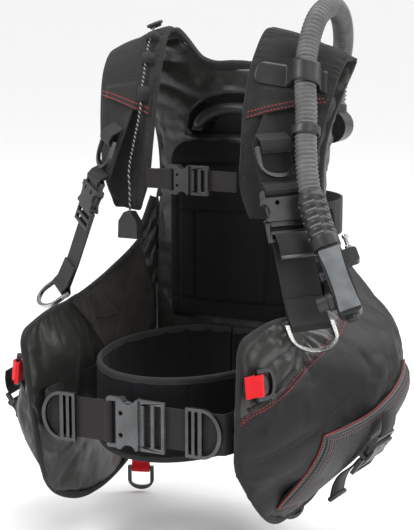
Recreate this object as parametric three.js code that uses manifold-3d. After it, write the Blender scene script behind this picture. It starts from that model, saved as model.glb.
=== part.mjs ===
// A jacket-style buoyancy compensator vest for scuba diving, size M.
// Millimetres, +Z up, +X to the wearer's left, +Y to the wearer's back.
// The shapes are worked out in a torso frame: y = 0 on the torso's axis, z = 0 at the lobes' lowest line.
// The exported group moves them so that the origin is the middle of the backplate's flat tank seat.
import * as THREE from "three";
import { mergeVertices } from "three/addons/utils/BufferGeometryUtils.js";
import Module from "manifold-3d";

const wasm = await Module();
wasm.setup();

// ---------------------------------------------------------------- driving dimensions

const GAP = 0.5; // between pieces that only touch
const WEB_THICK = 2; // every strip of webbing
const WEB = { belt: 50, shoulder: 50, ring: 40, chest: 25, pocket: 38, tab: 25, band: 50 };
const RING_BAR = 5; // section of a D-ring's bar
const EDGE = 6; // bound edge of the shell panels

// Left lobe, at even steps from its front edge round to the back seam: [x, y, z] points and directions.
const LOBE = {
  top: [[143, -222, 264], [150, -150, 271], [157, -85, 267], [165, -22, 267], [160, 44, 284],
    [141, 88, 318], [124, 104, 372]],
  bottom: [[132, -206, 105], [143, -160, 42], [140, -105, 9], [138, -50, 0], [142, 16, 2],
    [140, 72, 20], [126, 104, 52]],
  outward: [[0, 0, 0], [34, -12, 0], [64, -6, 0], [88, 0, 0], [94, 10, 0], [70, 40, 0], [0, 24, 0]],
  inward: [[0, 0, 0], [-14, 8, 0], [-18, 0, 0], [-20, 0, 0], [-16, -8, 0], [-8, -10, 0], [0, 0, 0]],
  fullest: { front: 0.56, side: 0.4 }, // share of its height down to where it stands out the most
};
const SAG = { left: 0, right: 20 }; // how much lower each lobe's front hangs
const SEAM = { y: LOBE.top[6][1], gap: GAP };

const BACK = {
  neckTop: 556, // top edge at the neck dip
  ridgeInner: { x: 68, z: 597 },
  ridgeOuter: { x: 168, z: 561 },
  armhole: [[400, 118], [461, 124], [520, 146]], // [height, half width] above the lobes
  thick: 34,
  wing: { out: 26, back: 22 }, // how far the air cell swells beyond the panel's edges, beside the tank
  neckCurl: 38, // how far the top leans forward to the shoulders
};
const BACK_PAD = { halfWidth: 92, aboveCummerbund: 13, top: 450, thick: 14 };
const HANDLE_SLOT = { halfWidth: 70, bottom: 458, top: 510 };

const CUMMERBUND = { y: -50, halfWidth: 106, halfDepth: 141, bottom: 104, top: 199, thick: 7 };
const BELT = { buckleAt: 12, y: -212, z: 147, straight: 108, slot: 9 };

const STRAP = {
  thick: 15,
  // centre line and half-width vector from the shoulder ridge down to the rounded tip
  centre: [[118, 60, 581], [117, 42, 580], [115, 25, 566], [112, 8, 540], [109, -7, 500],
    [106, -18, 455], [102, -27, 412], [97, -33, 372]],
  half: [[50, 14, -18], [50, 14, -17], [50, 15, -13], [50, 16, -8], [48, 17, -3],
    [44, 15, 0], [38, 13, 0], [20, 7, 0]],
};

const BUCKLE = { wall: 6, thick: 12, frameThick: 5, bar: 4.4, slot: 5 };
const HOSE_RADIUS = 13.5;
const TANK = { radius: 92, bandThick: 3, bandZ: 335 };
const SEAT = { halfWidth: 30, bottom: 255, top: 425, z: 380 };
const PLATE = { halfWidth: 88, bottom: 225, top: 520, thick: 9, seatRise: 10 };

// ---------------------------------------------------------------- small tools

const V = (x, y, z) => new THREE.Vector3(x, y, z);
const mix = (a, b, t) => a + (b - a) * t;
const rad = THREE.MathUtils.degToRad;

// A smooth value at t through [t, value] keys.
function keyed(keys, t) {
  const last = keys.length - 1;
  if (t <= keys[0][0]) return keys[0][1];
  if (t >= keys[last][0]) return keys[last][1];
  const i = keys.findIndex((key) => t < key[0]) - 1;
  const slope = (k) => {
    const a = keys[Math.max(k - 1, 0)];
    const b = keys[Math.min(k + 1, last)];
    return (b[1] - a[1]) / (b[0] - a[0]);
  };
  const span = keys[i + 1][0] - keys[i][0];
  const s = (t - keys[i][0]) / span;
  const rise = s * s * (3 - 2 * s);
  return mix(keys[i][1], keys[i + 1][1], rise)
    + span * (slope(i) * s * (1 - s) * (1 - s) - slope(i + 1) * s * s * (1 - s));
}

// A point at t, 0 to 1, on the smooth curve through evenly counted [x, y, z] points.
const curveOf = (points) => new THREE.CatmullRomCurve3(points.map((p) => V(...p)), false, "catmullrom", 0.5);

// Turns a closed geometry's faces out if they point in.
function facingOut(geometry) {
  const { array } = geometry.getAttribute("position");
  const { array: index } = geometry.index;
  const corner = (i) => V(array[3 * i], array[3 * i + 1], array[3 * i + 2]);
  let volume = 0;
  for (let i = 0; i < index.length; i += 3)
    volume += corner(index[i]).dot(corner(index[i + 1]).cross(corner(index[i + 2])));
  if (volume < 0)
    for (let i = 0; i < index.length; i += 3)
      [index[i + 1], index[i + 2]] = [index[i + 2], index[i + 1]];
  return geometry;
}

// The closed body between two surfaces over the same (u, v) square.
function slab(outer, inner, nu, nv) {
  const positions = [];
  for (const surface of [outer, inner])
    for (let i = 0; i <= nu; i++)
      for (let j = 0; j <= nv; j++) positions.push(...surface(i / nu, j / nv).toArray());
  const at = (layer, i, j) => (layer * (nu + 1) + i) * (nv + 1) + j;
  const faces = [];
  const quad = (a, b, c, d) => faces.push(a, b, c, a, c, d);
  for (let i = 0; i < nu; i++)
    for (let j = 0; j < nv; j++) {
      quad(at(0, i, j), at(0, i + 1, j), at(0, i + 1, j + 1), at(0, i, j + 1));
      quad(at(1, i, j), at(1, i, j + 1), at(1, i + 1, j + 1), at(1, i + 1, j));
    }
  for (let i = 0; i < nu; i++) {
    quad(at(0, i, 0), at(1, i, 0), at(1, i + 1, 0), at(0, i + 1, 0));
    quad(at(0, i + 1, nv), at(1, i + 1, nv), at(1, i, nv), at(0, i, nv));
  }
  for (let j = 0; j < nv; j++) {
    quad(at(0, 0, j + 1), at(1, 0, j + 1), at(1, 0, j), at(0, 0, j));
    quad(at(0, nu, j), at(1, nu, j), at(1, nu, j + 1), at(0, nu, j + 1));
  }
  const geometry = new THREE.BufferGeometry();
  geometry.setAttribute("position", new THREE.BufferAttribute(new Float32Array(positions), 3));
  geometry.setIndex(new THREE.BufferAttribute(new Uint32Array(faces), 1));
  return facingOut(geometry);
}

// A strip of webbing: its middle follows points, and each point has its own half-width vector.
function ribbon(points, halves, thick) {
  const last = points.length - 1;
  const skin = (side) => (u, v) => {
    const i = Math.round(u * last);
    const ahead = points[Math.min(i + 1, last)].clone().sub(points[Math.max(i - 1, 0)]);
    const normal = ahead.cross(halves[i]).normalize();
    return points[i].clone().addScaledVector(halves[i], 2 * v - 1).addScaledVector(normal, side * thick / 2);
  };
  return slab(skin(1), skin(-1), last, 1);
}

// A strip in its own frame: points are [along, out], and its width lies along local x.
function strip(points, width, thick = WEB_THICK) {
  const half = V(width / 2, 0, 0);
  return ribbon(points.map(([y, z]) => V(0, y, z)), points.map(() => half), thick);
}

// [along, out] points half way round a bar at [y, z], from its front, past its far side, to its back.
function roundBar(y, z, radius) {
  const turn = (k) => rad(90 + 36 * k);
  return [0, 1, 2, 3, 4, 5].map((k) => [y + radius * Math.cos(turn(k)), z + radius * Math.sin(turn(k))]);
}

function outline(points) {
  return new THREE.Shape(points.map(([x, y]) => new THREE.Vector2(x, y)));
}

function rectangle(x0, y0, x1, y1) {
  return outline([[x0, y0], [x1, y0], [x1, y1], [x0, y1]]);
}

// A rectangle with round corners.
function rounded(x0, y0, x1, y1, r) {
  const shape = new THREE.Shape();
  shape.moveTo(x0 + r, y0).lineTo(x1 - r, y0).absarc(x1 - r, y0 + r, r, -Math.PI / 2, 0);
  shape.lineTo(x1, y1 - r).absarc(x1 - r, y1 - r, r, 0, Math.PI / 2);
  shape.lineTo(x0 + r, y1).absarc(x0 + r, y1 - r, r, Math.PI / 2, Math.PI);
  shape.lineTo(x0, y0 + r).absarc(x0 + r, y0 + r, r, Math.PI, 1.5 * Math.PI);
  return shape;
}

// A drawn outline's corner points, each once.
function corners(points) {
  return points.filter((p, i) => p.distanceTo(points[(i + 1) % points.length]) > 1e-3);
}

// A flat plate of a shape in the local x-y plane, between two heights.
function plate(shape, z0, z1, segments = 4) {
  const drawn = shape.extractPoints(segments);
  const flat = new THREE.Shape(corners(drawn.shape));
  flat.holes = drawn.holes.map((hole) => new THREE.Path(corners(hole)));
  return new THREE.ExtrudeGeometry(flat, { depth: z1 - z0, bevelEnabled: false }).translate(0, 0, z0);
}

const box = (x0, y0, z0, x1, y1, z1) => plate(rectangle(x0, y0, x1, y1), z0, z1);

// A rod along local z.
const rod = (radius, z0, z1, sides = 20) =>
  new THREE.CylinderGeometry(radius, radius, z1 - z0, sides)
    .rotateX(Math.PI / 2).translate(0, 0, (z0 + z1) / 2);

// manifold-3d solids, for cuts and joins
function solid(geometry) {
  const bare = geometry.clone();
  bare.deleteAttribute("normal");
  bare.deleteAttribute("uv");
  const merged = mergeVertices(bare, 1e-3);
  return new wasm.Manifold(new wasm.Mesh({
    numProp: 3,
    vertProperties: merged.getAttribute("position").array,
    triVerts: new Uint32Array(merged.index.array),
  }));
}

function geometryOf(manifold) {
  const mesh = manifold.getMesh();
  const geometry = new THREE.BufferGeometry();
  geometry.setAttribute("position", new THREE.BufferAttribute(mesh.vertProperties, 3));
  geometry.setIndex(new THREE.BufferAttribute(mesh.triVerts, 1));
  return geometry;
}

const joined = (...geometries) => geometryOf(geometries.map(solid).reduce((a, b) => a.add(b)));
const cut = (geometry, ...tools) =>
  geometryOf(tools.map(solid).reduce((a, b) => a.subtract(b), solid(geometry)));

// ---------------------------------------------------------------- materials and the scene graph

const paint = (color, roughness, metalness = 0) =>
  new THREE.MeshStandardMaterial({ color, roughness, metalness });
const SHELL = paint(0x1a1a1c, 0.7); // coated nylon
const CORDURA = paint(0x2c2a29, 0.85);
const LINING = paint(0x141418, 0.8);
const WEBBING = paint(0x262423, 0.8);
const RED_WEB = paint(0xc8202a, 0.6);
const GREY_WEAVE = paint(0x5a5c5c, 0.7);
const PLASTIC = paint(0x2b2b2b, 0.5);
const STEEL = paint(0xa8a8a4, 0.25, 1);
const BLACK_STEEL = paint(0x3a3b3e, 0.4, 0.8);
const RUBBER = paint(0x4a4b49, 0.65);
const CORD = paint(0x777570, 0.8);

const vest = new THREE.Group();
const middle = new THREE.Group();
const leftSide = new THREE.Group();
const rightSide = new THREE.Group();
rightSide.scale.x = -1; // the right half is the left half's mirror image
vest.add(middle, leftSide, rightSide);

function piece(group, name, geometry, material, placing = new THREE.Matrix4()) {
  const mesh = new THREE.Mesh(geometry, material);
  mesh.name = name;
  placing.decompose(mesh.position, mesh.quaternion, mesh.scale);
  group.add(mesh);
}

// A placing from an origin, the direction of local y, and roughly the direction of local z.
function placed(origin, along, out) {
  const y = along.clone().normalize();
  const x = y.clone().cross(out).normalize();
  return new THREE.Matrix4().makeBasis(x, y, x.clone().cross(y)).setPosition(origin);
}

// ---------------------------------------------------------------- shell panels

const lobeTop = curveOf(LOBE.top);
const lobeBottom = curveOf(LOBE.bottom);
const lobeOutward = curveOf(LOBE.outward);
const lobeInward = curveOf(LOBE.inward);

// How far a lobe stands out at (u, v): from 0 at its top edge to 1 and back to 0 at its bottom edge.
function pillow(u, v) {
  const { front, side } = LOBE.fullest;
  const fullest = mix(front, side, THREE.MathUtils.smoothstep(u, 0.2, 0.55));
  return Math.max(Math.sin(Math.PI * v ** (Math.log(0.5) / Math.log(fullest))), 0) ** 1.4;
}

// Straight out from the lobe's edges, seen from above.
function lobeNormal(u) {
  const step = 0.01;
  const ahead = lobeTop.getPoint(Math.min(u + step, 1)).sub(lobeTop.getPoint(Math.max(u - step, 0)));
  return V(ahead.y, -ahead.x, 0).normalize();
}

// A lobe's skin at (u, v): u from its front edge to the back seam, v from its top to its bottom edge.
function lobeSkin(u, v, outside, sag, lift = 0) {
  const p = lobeTop.getPoint(u).lerp(lobeBottom.getPoint(u), v);
  p.addScaledVector((outside ? lobeOutward : lobeInward).getPoint(u), pillow(u, v));
  const seamSide = u > 0.999 ? V(0, 1, 0) : lobeNormal(u);
  p.addScaledVector(seamSide, (outside ? 1 : -1) * (EDGE / 2) + lift);
  p.z -= sag * (1 - u) ** 1.5;
  return p;
}

// A placing on a lobe's outer skin, lifted off it, local z outwards and local y turned from straight up.
function onLobe(u, v, lift, turn, sag) {
  const step = 0.01;
  const p = lobeSkin(u, v, true, sag);
  const round = lobeSkin(u + step, v, true, sag).sub(p).normalize();
  const down = lobeSkin(u, v + step, true, sag).sub(p).normalize();
  const out = round.clone().cross(down).negate().normalize();
  const up = down.clone().negate().applyAxisAngle(out, rad(turn));
  return placed(p.addScaledVector(out, lift), up, out);
}

// Where the back panel's side edge meets the lobe's last column, and the armhole edge above it.
const seamTop = LOBE.top[6];
const seamBottom = LOBE.bottom[6];
const backEdge = [
  ...[seamBottom, seamTop].map(([x, , z]) => [z, x - SEAM.gap]),
  ...BACK.armhole,
  [BACK.ridgeOuter.z, BACK.ridgeOuter.x],
];

// The back panel's half width at a height: straight along the seam, then smooth round the armhole.
function backHalfWidth(z) {
  const seam = mix(seamBottom[0], seamTop[0], (z - seamBottom[2]) / (seamTop[2] - seamBottom[2])) - SEAM.gap;
  return z < seamTop[2] ? seam : keyed(backEdge.slice(1), z);
}

// The back panel's middle surface at (u, v): u from -1 to 1 across, v from its bottom to its top edge.
function backMiddle(u, v) {
  const across = Math.abs(u);
  const innerShare = BACK.ridgeInner.x / BACK.ridgeOuter.x;
  const topKeys = [[0, BACK.neckTop], [0.27, BACK.neckTop + 4], [innerShare, BACK.ridgeInner.z],
    [1, BACK.ridgeOuter.z]];
  const z = mix(seamBottom[2], keyed(topKeys, across), v);
  const lean = Math.max(0, (z - 470) / 115);
  return V(u * backHalfWidth(z), SEAM.y - BACK.neckCurl * lean ** 3, z);
}

function backSkin(u, v, rear) {
  const across = 2 * u - 1;
  const p = backMiddle(across, v);
  const { z } = p;
  const puff = Math.pow((1 - across ** 4) * (1 - (2 * v - 1) ** 6), 0.6);
  p.y += (rear ? 1 : -1) * (EDGE / 2 + (BACK.thick - EDGE) / 2 * puff);
  if (!rear) return p;
  // Beside the tank the cell swells backwards, and above the lobes outwards too.
  const side = THREE.MathUtils.smoothstep(Math.abs(across), 0.76, 0.9);
  const swell = side * (1 - Math.abs(across) ** 12) * Math.sin(Math.PI * v) ** 0.7;
  const aboveLobe = THREE.MathUtils.smoothstep(z, seamTop[2] - 10, seamTop[2] + 40);
  p.y += BACK.wing.back * swell;
  p.x += Math.sign(across) * BACK.wing.out * swell * aboveLobe;
  const seamAt = (seamTop[2] - z) / (seamTop[2] - seamBottom[2]);
  if (seamAt > 0) p.y += LOBE.outward[6][1] * pillow(1, seamAt) * side;
  return p;
}

const REAR_Y = SEAM.y + BACK.thick / 2; // the back panel's rear face behind the wearer's spine
const INNER_Y = SEAM.y - BACK.thick / 2; // its face towards the wearer

function makeBackPanel() {
  const panel = slab((u, v) => backSkin(u, v, true), (u, v) => backSkin(u, v, false), 20, 12);
  const { halfWidth, bottom, top } = HANDLE_SLOT;
  const slot = new THREE.Shape();
  slot.moveTo(-halfWidth, bottom).lineTo(halfWidth, bottom).lineTo(halfWidth, bottom + 12);
  slot.absellipse(0, bottom + 12, halfWidth, top - bottom - 12, 0, Math.PI);
  const opening = plate(slot, -REAR_Y - 60, 0, 6).rotateX(Math.PI / 2);
  return cut(panel, opening);
}

function makeBackPad() {
  const { halfWidth, aboveCummerbund, top, thick } = BACK_PAD;
  const bottom = CUMMERBUND.top + aboveCummerbund;
  const skin = (depth) => (u, v) => {
    const across = 2 * u - 1;
    const puff = Math.pow((1 - across ** 6) * (1 - (2 * v - 1) ** 6), 0.5);
    return V(across * halfWidth, INNER_Y - GAP - depth * mix(0.4, 1, puff), mix(bottom, top, v));
  };
  return slab(skin(thick), skin(0), 6, 6);
}

function makeLobe(sag) {
  return slab((u, v) => lobeSkin(u, v, true, sag), (u, v) => lobeSkin(u, v, false, sag), 18, 10);
}

function makeCummerbund() {
  const { y, halfWidth, halfDepth, bottom, top, thick } = CUMMERBUND;
  // A loop that lies flat along the back panel, where its two ends almost meet.
  const start = 2; // degrees from straight back
  const skin = (outside) => (u, v) => {
    const angle = rad(mix(180 - start, -180 + start, u));
    const waist = 8 * Math.cos(angle); // the front dips a little
    const flat = INNER_Y - GAP - thick / 2 + outside;
    const x = (halfWidth + outside) * Math.sin(angle);
    return V(x, Math.min(y - (halfDepth + outside) * Math.cos(angle), flat), mix(bottom - waist, top, v));
  };
  return slab(skin(thick / 2), skin(-thick / 2), 36, 1);
}

// ---------------------------------------------------------------- shoulder straps

const strapCentre = curveOf(STRAP.centre);
const strapHalf = curveOf(STRAP.half);

// A point on a shoulder strap, lifted off its middle: s runs down its length, c from -1 at the neck
// to 1 at the arm.
function strapPoint(s, c, lift) {
  const step = 0.01;
  const half = strapHalf.getPoint(s);
  const ahead = strapCentre.getPoint(Math.min(s + step, 1)).sub(strapCentre.getPoint(Math.max(s - step, 0)));
  const out = half.clone().cross(ahead).negate().normalize();
  return strapCentre.getPoint(s).addScaledVector(half, c).addScaledVector(out, lift);
}

function onStrap(s, c, lift) {
  const step = 0.02;
  const p = strapPoint(s, c, lift);
  const up = strapPoint(s - step, c, lift).sub(strapPoint(s + step, c, lift));
  const out = strapPoint(s, c, lift + 1).sub(p);
  return placed(p, up, out);
}

function makeShoulderPad() {
  const skin = (side) => (u, v) => {
    const c = 2 * v - 1;
    const edge = Math.pow(1 - c ** 4, 0.5);
    const ends = Math.pow(1 - Math.max(0, (u - 0.9) / 0.1) ** 2, 0.5);
    const lift = EDGE / 2 + (STRAP.thick - EDGE) / 2 * edge * Math.max(ends, 0);
    return strapPoint(mix(0.02, 1, u), c, side * lift);
  };
  return slab(skin(1), skin(-1), 18, 4);
}

// The dump valve's pull on the right strap: a cord that runs through fabric sleeves near the neck edge.
const DUMP = {
  cordRadius: 1.5,
  knobTop: 372,
  knob: 34,
  inKnob: 17, // how far the cord reaches into the knob
  across: -0.72, // where across the pad the cord runs
  height: 5.5, // the cord's middle above the pad
  sleeves: [0.24, 0.38, 0.53],
};

// A fabric sleeve sewn on the pad over the cord.
function makeSleeve(s) {
  const low = -STRAP.thick / 4;
  const points = [[-9, low], [-5, 2.5], [-3, DUMP.height + 3], [3, DUMP.height + 3], [5, 2.5], [9, low]];
  const halves = points.map(() => V(0, 7, 0));
  const sleeve = ribbon(points.map(([x, z]) => V(x, 0, z)), halves, 1.6);
  return sleeve.applyMatrix4(onStrap(s, DUMP.across, STRAP.thick / 2));
}

// ---------------------------------------------------------------- hardware

// A D-ring hanging down from its bar, which lies along local x at the origin.
function dRing(web, reach, bar = RING_BAR) {
  const ring = (grow) => {
    const half = web / 2 + 1 + grow;
    const corner = reach - half * 0.8;
    const shape = new THREE.Shape();
    shape.moveTo(-half, bar / 2 + (grow - bar)).lineTo(-half, -Math.max(corner, 2));
    const depth = reach - bar - Math.max(corner, 2) + grow;
    shape.absellipse(0, -Math.max(corner, 2), half, depth, Math.PI, 2 * Math.PI);
    shape.lineTo(half, bar / 2 + (grow - bar));
    return shape;
  };
  const shape = ring(bar);
  shape.holes.push(new THREE.Path(ring(0).getPoints(6)));
  return plate(shape, -bar / 2, bar / 2, 6);
}

const RING_LOOP = RING_BAR * 0.71 + 1 + WEB_THICK / 2; // how far a loop's middle lies from a ring's bar

// A webbing tab folded round a ring's bar, its two ends at local y = length.
function foldedTab(web, length) {
  const near = [length, WEB_THICK / 2 + 0.1];
  return strip([near, [RING_LOOP + 3, WEB_THICK / 2 + 0.1], ...roundBar(0, 0, RING_LOOP),
    [RING_LOOP + 3, -WEB_THICK / 2 - 0.1], [length, -WEB_THICK / 2 - 0.1]], web);
}

// Sizes of a side-release buckle for a webbing width.
function buckleSizes(web, slot = BUCKLE.slot) {
  const { wall, bar } = BUCKLE;
  const housing = 0.36 * web + 11;
  return {
    half: web / 2 + wall,
    housing,
    cavity: housing - 4,
    cavityHalf: web / 2 + 2.5,
    femaleEnd: housing + slot + 1 + bar,
    femaleBar: housing + slot + 1 + bar / 2,
    maleEnd: -(6 + 2 * (slot + bar)),
    maleBar: -(6 + slot + bar / 2),
  };
}

// The housing half: its mouth is at local y = 0 and its webbing bar at the far end.
function buckleFemale(web, slot = BUCKLE.slot) {
  const { thick, frameThick } = BUCKLE;
  const s = buckleSizes(web, slot);
  const frame = rounded(-s.half, 1, s.half, s.femaleEnd, 3);
  const opening = rectangle(-web / 2 - 1, s.housing, web / 2 + 1, s.housing + slot + 1);
  frame.holes.push(new THREE.Path(opening.getPoints()));
  const body = joined(
    plate(rounded(-s.half, 0, s.half, s.housing, 3), -thick / 2, thick / 2),
    plate(frame, -frameThick / 2, frameThick / 2),
  );
  const windowRadius = 0.13 * web + 4;
  const windowAt = s.half + windowRadius * 0.35;
  const windows = [-1, 1].map((side) =>
    rod(windowRadius, -thick, thick, 14).translate(side * windowAt, s.housing * 0.45, 0));
  const holes = [-1, 1].map((side) =>
    rod(0.05 * web + 0.6, 0, thick, 8).translate(side * web * 0.27, s.housing * 0.78, 0));
  const hollow = frameThick + 1.4;
  const cavity = box(-s.cavityHalf, -1, -hollow / 2, s.cavityHalf, s.cavity, hollow / 2);
  return cut(body, cavity, ...windows, ...holes);
}

// The latch half: two arms that reach into the housing, and a frame with two slots for the webbing.
function buckleMale(web, slot = BUCKLE.slot) {
  const { frameThick, bar } = BUCKLE;
  const s = buckleSizes(web, slot);
  const arm = s.cavity - 2;
  const root = web / 2 - 4;
  const tip = s.cavityHalf - 0.6;
  const points = [[s.half, -GAP], [root + 4, -GAP], [root + 4, arm * 0.35], [tip, arm * 0.6], [tip - 1, arm],
    [root - 3, arm], [root - 2, 2], [4, 2], [3, arm * 0.7]];
  const left = points.map(([x, y]) => [-x, y]).reverse();
  const latch = outline([...points, ...left, [-s.half, s.maleEnd], [s.half, s.maleEnd]]);
  for (const y of [-6, -6 - slot - bar])
    latch.holes.push(new THREE.Path(rectangle(-web / 2 - 1, y - slot, web / 2 + 1, y).getPoints()));
  return plate(latch, -frameThick / 2, frameThick / 2);
}

// A buckle half's webbing: a loop round the housing's bar that runs off to local y = far.
function barLoop(web, far, tail = 22) {
  const { bar } = BUCKLE;
  const { femaleBar } = buckleSizes(web);
  const radius = Math.hypot(bar, BUCKLE.frameThick) / 2 + 0.3 + WEB_THICK / 2;
  const beside = WEB_THICK / 2 + 0.2;
  return strip([[far, beside], [femaleBar + radius + 3, beside], ...roundBar(femaleBar, 0, radius),
    [femaleBar + radius + 3, -beside], [femaleBar + tail, -beside]], web);
}

const BEHIND = -(BUCKLE.frameThick / 2 + GAP + WEB_THICK / 2); // where webbing runs behind a latch half

// ---------------------------------------------------------------- the middle pieces

piece(middle, "back_panel", makeBackPanel(), SHELL);
piece(middle, "back_pad", makeBackPad(), LINING);
piece(middle, "cummerbund", makeCummerbund(), LINING);

// Waist: the belt's two halves, their buckle and the two D-ring sliders.
const waist = placed(V(BELT.buckleAt, BELT.y, BELT.z), V(-1, 0, 0), V(0, -1, 0));
const waistSizes = buckleSizes(WEB.belt, BELT.slot);

// The belt turns back inside a lobe from where it stops being straight.
function beltTurn(side) {
  const back = CUMMERBUND.y - BELT.y;
  return [[0, 0], [10, 4], [15, 16], [16, 38], [17, back * 0.5], [15, back * 0.85]]
    .map(([x, y]) => [side * (BELT.straight + x) - BELT.buckleAt, y]);
}

function makeBelt(side) {
  // In the buckle's frame, along is the wearer's right and out is forwards.
  const outside = beltTurn(side).map(([x, y]) => [-x, -y]);
  const far = outside[0][0];
  if (side < 0) {
    const { femaleBar } = waistSizes;
    const radius = Math.hypot(BUCKLE.bar, BUCKLE.frameThick) / 2 + 0.3 + WEB_THICK / 2;
    return strip([...outside.reverse(), [far - 8, 0], [femaleBar + radius + 3, WEB_THICK / 2 + 0.2],
      ...roundBar(femaleBar, 0, radius), [femaleBar + radius + 3, -WEB_THICK / 2 - 0.4],
      [femaleBar + 20, -WEB_THICK / 2 - 0.6]], WEB.belt);
  }
  return strip([[-2, BEHIND], [far + 8, BEHIND], ...outside.map(([y, z]) => [y, z + BEHIND])], WEB.belt);
}

piece(middle, "waist_buckle_female", buckleFemale(WEB.belt, BELT.slot), PLASTIC, waist);
piece(middle, "waist_buckle_male", buckleMale(WEB.belt, BELT.slot), PLASTIC, waist);
piece(middle, "waist_belt_right", makeBelt(-1), WEBBING, waist);
piece(middle, "waist_belt_left", makeBelt(1), WEBBING, waist);

// A slider with two webbing slots and a D-shaped ring past them; its slots are centred on local x = 0.
function makeSlider(web) {
  const half = web / 2 + 5;
  const reach = 26;
  const body = new THREE.Shape();
  body.moveTo(-12, -half).lineTo(8, -half).absellipse(8, 0, reach, half, -Math.PI / 2, Math.PI / 2);
  body.lineTo(-12, half);
  const opening = new THREE.Shape();
  opening.absellipse(9, 0, reach - 6, web / 2 + 1, -Math.PI / 2, Math.PI / 2);
  const slots = [-8, 0].map((x) => rectangle(x, -web / 2 - 1, x + 4, web / 2 + 1));
  const holes = [opening, ...slots].map((shape) => plate(shape, -5, 5, 6));
  return cut(plate(body, -2.5, 2.5, 8), ...holes);
}

const SLIDER_AT = 84; // from the vest's middle
for (const [name, side] of [["waist_ring_left", 1], ["waist_ring_right", -1]]) {
  const clear = side > 0 ? 0 : -BEHIND + GAP;
  const at = V(side * SLIDER_AT, BELT.y - clear, BELT.z);
  piece(middle, name, makeSlider(WEB.belt).rotateZ(side > 0 ? 0 : Math.PI), BLACK_STEEL,
    placed(at, V(0, 0, 1), V(0, -1, 0)));
}

// Chest strap: joins the shoulder pads, with its buckle in the middle.
const CHEST = { y: -49, z: 416, reach: 61 };
const chest = placed(V(0, CHEST.y, CHEST.z), V(-1, 0, 0), V(0, -1, 0));
piece(middle, "chest_buckle_female", buckleFemale(WEB.chest), PLASTIC, chest);
piece(middle, "chest_buckle_male", buckleMale(WEB.chest), PLASTIC, chest);
piece(middle, "chest_strap_right", barLoop(WEB.chest, CHEST.reach, 18), WEBBING, chest);
piece(middle, "chest_strap_left", strip([[-2, BEHIND], [-CHEST.reach, BEHIND]], WEB.chest), WEBBING, chest);

// ---------------------------------------------------------------- backplate, tank band and cam buckle

const TANK_Y = REAR_Y + GAP + PLATE.thick + PLATE.seatRise + TANK.radius + GAP;
const SEAT_Y = REAR_Y + GAP + PLATE.thick + PLATE.seatRise;

// The band in plan: round the tank, then straight through the plate's slots and across its front.
function bandOutline(radius, grow) {
  const slotX = PLATE.halfWidth - 16;
  const front = REAR_Y + 2 * GAP + TANK.bandThick - grow;
  const shape = new THREE.Shape();
  const leave = -0.62; // where the band leaves the tank, radians below the tank's middle
  shape.absarc(0, TANK_Y, radius, leave, Math.PI - leave);
  shape.lineTo(-slotX - grow, front).lineTo(slotX + grow, front);
  return shape;
}

function tankBand(thick, width) {
  const shape = bandOutline(TANK.radius + GAP + thick, thick);
  const inner = bandOutline(TANK.radius + GAP, 0);
  shape.holes.push(new THREE.Path(inner.getPoints(14)));
  return plate(shape, TANK.bandZ - width / 2, TANK.bandZ + width / 2, 14);
}

function makeBackplate() {
  const front = REAR_Y + GAP;
  const { halfWidth, bottom, top, thick, seatRise } = PLATE;
  // Plates here are drawn in x-z and stand from the front face backwards.
  const upright = (shape, y0, y1, segments) => plate(shape, -y1, -y0, segments).rotateX(Math.PI / 2);
  const body = upright(rounded(-halfWidth, bottom, halfWidth, top, 34), front, front + thick, 6);
  const seatOutline = rounded(-SEAT.halfWidth, SEAT.bottom, SEAT.halfWidth, SEAT.top, 8);
  const seat = upright(seatOutline, front, front + thick + seatRise);
  const arch = new THREE.Shape();
  const outer = HANDLE_SLOT.halfWidth - 8;
  const inner = outer - 15;
  arch.moveTo(outer, HANDLE_SLOT.bottom + 6).absellipse(0, HANDLE_SLOT.bottom + 6, outer, 38, 0, Math.PI);
  arch.lineTo(-inner, HANDLE_SLOT.bottom + 6);
  arch.absellipse(0, HANDLE_SLOT.bottom + 6, inner, 24, Math.PI, 0, true);
  const handle = upright(arch, INNER_Y - 2, front + 1, 8);
  const grip = upright(rectangle(-inner + 6, HANDLE_SLOT.bottom, inner - 6, top - 4), INNER_Y + 12, front);
  const lightening = [-1, 1].map((side) =>
    upright(rounded(side * 58 - 12, 245, side * 58 + 12, 300, 8), front - 1, front + thick + 1));
  const upper = [-1, 1].map((side) =>
    upright(rounded(side * 58 - 12, 375, side * 58 + 12, 440, 8), front - 1, front + thick + 1));
  const clearance = 0.8;
  const band = solid(tankBand(TANK.bandThick + clearance, WEB.band + 2 * clearance));
  const shell = solid(joined(body, seat, handle)).subtract(solid(grip));
  const open = [...lightening, ...upper].map(solid).reduce((a, b) => a.subtract(b), shell);
  return geometryOf(open.subtract(band));
}

piece(middle, "backplate", makeBackplate(), PLASTIC);
piece(middle, "tank_band", tankBand(TANK.bandThick, WEB.band), WEBBING);

const CAM = { y: TANK_Y + TANK.radius + GAP + TANK.bandThick + GAP, length: 56, thick: 5 };
function makeCamBase() {
  const half = WEB.band / 2;
  const floor = box(-CAM.length / 2, -half - 6, 0, CAM.length / 2, half + 6, CAM.thick);
  const end = -CAM.length / 2;
  const ears = [-half - 6, half + 1].map((low) => box(end, low, 0, end + 14, low + 5, 16));
  return joined(floor, ...ears);
}
function makeCamLever() {
  const half = WEB.band / 2 + 1 - GAP;
  const barrel = rod(4.5, -half, half, 12).rotateX(Math.PI / 2).translate(-CAM.length / 2 + 7, 0, 10.4);
  const arm = box(-CAM.length / 2 + 7, -half + 6, 9, CAM.length / 2 + 10, half - 6, 13);
  return joined(barrel, arm);
}
const cam = placed(V(0, CAM.y, TANK.bandZ), V(0, 0, 1), V(0, 1, 0));
piece(middle, "cam_buckle_base", makeCamBase(), PLASTIC, cam);
piece(middle, "cam_lever", makeCamLever(), PLASTIC, cam);

// ---------------------------------------------------------------- pieces that both sides have

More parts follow.
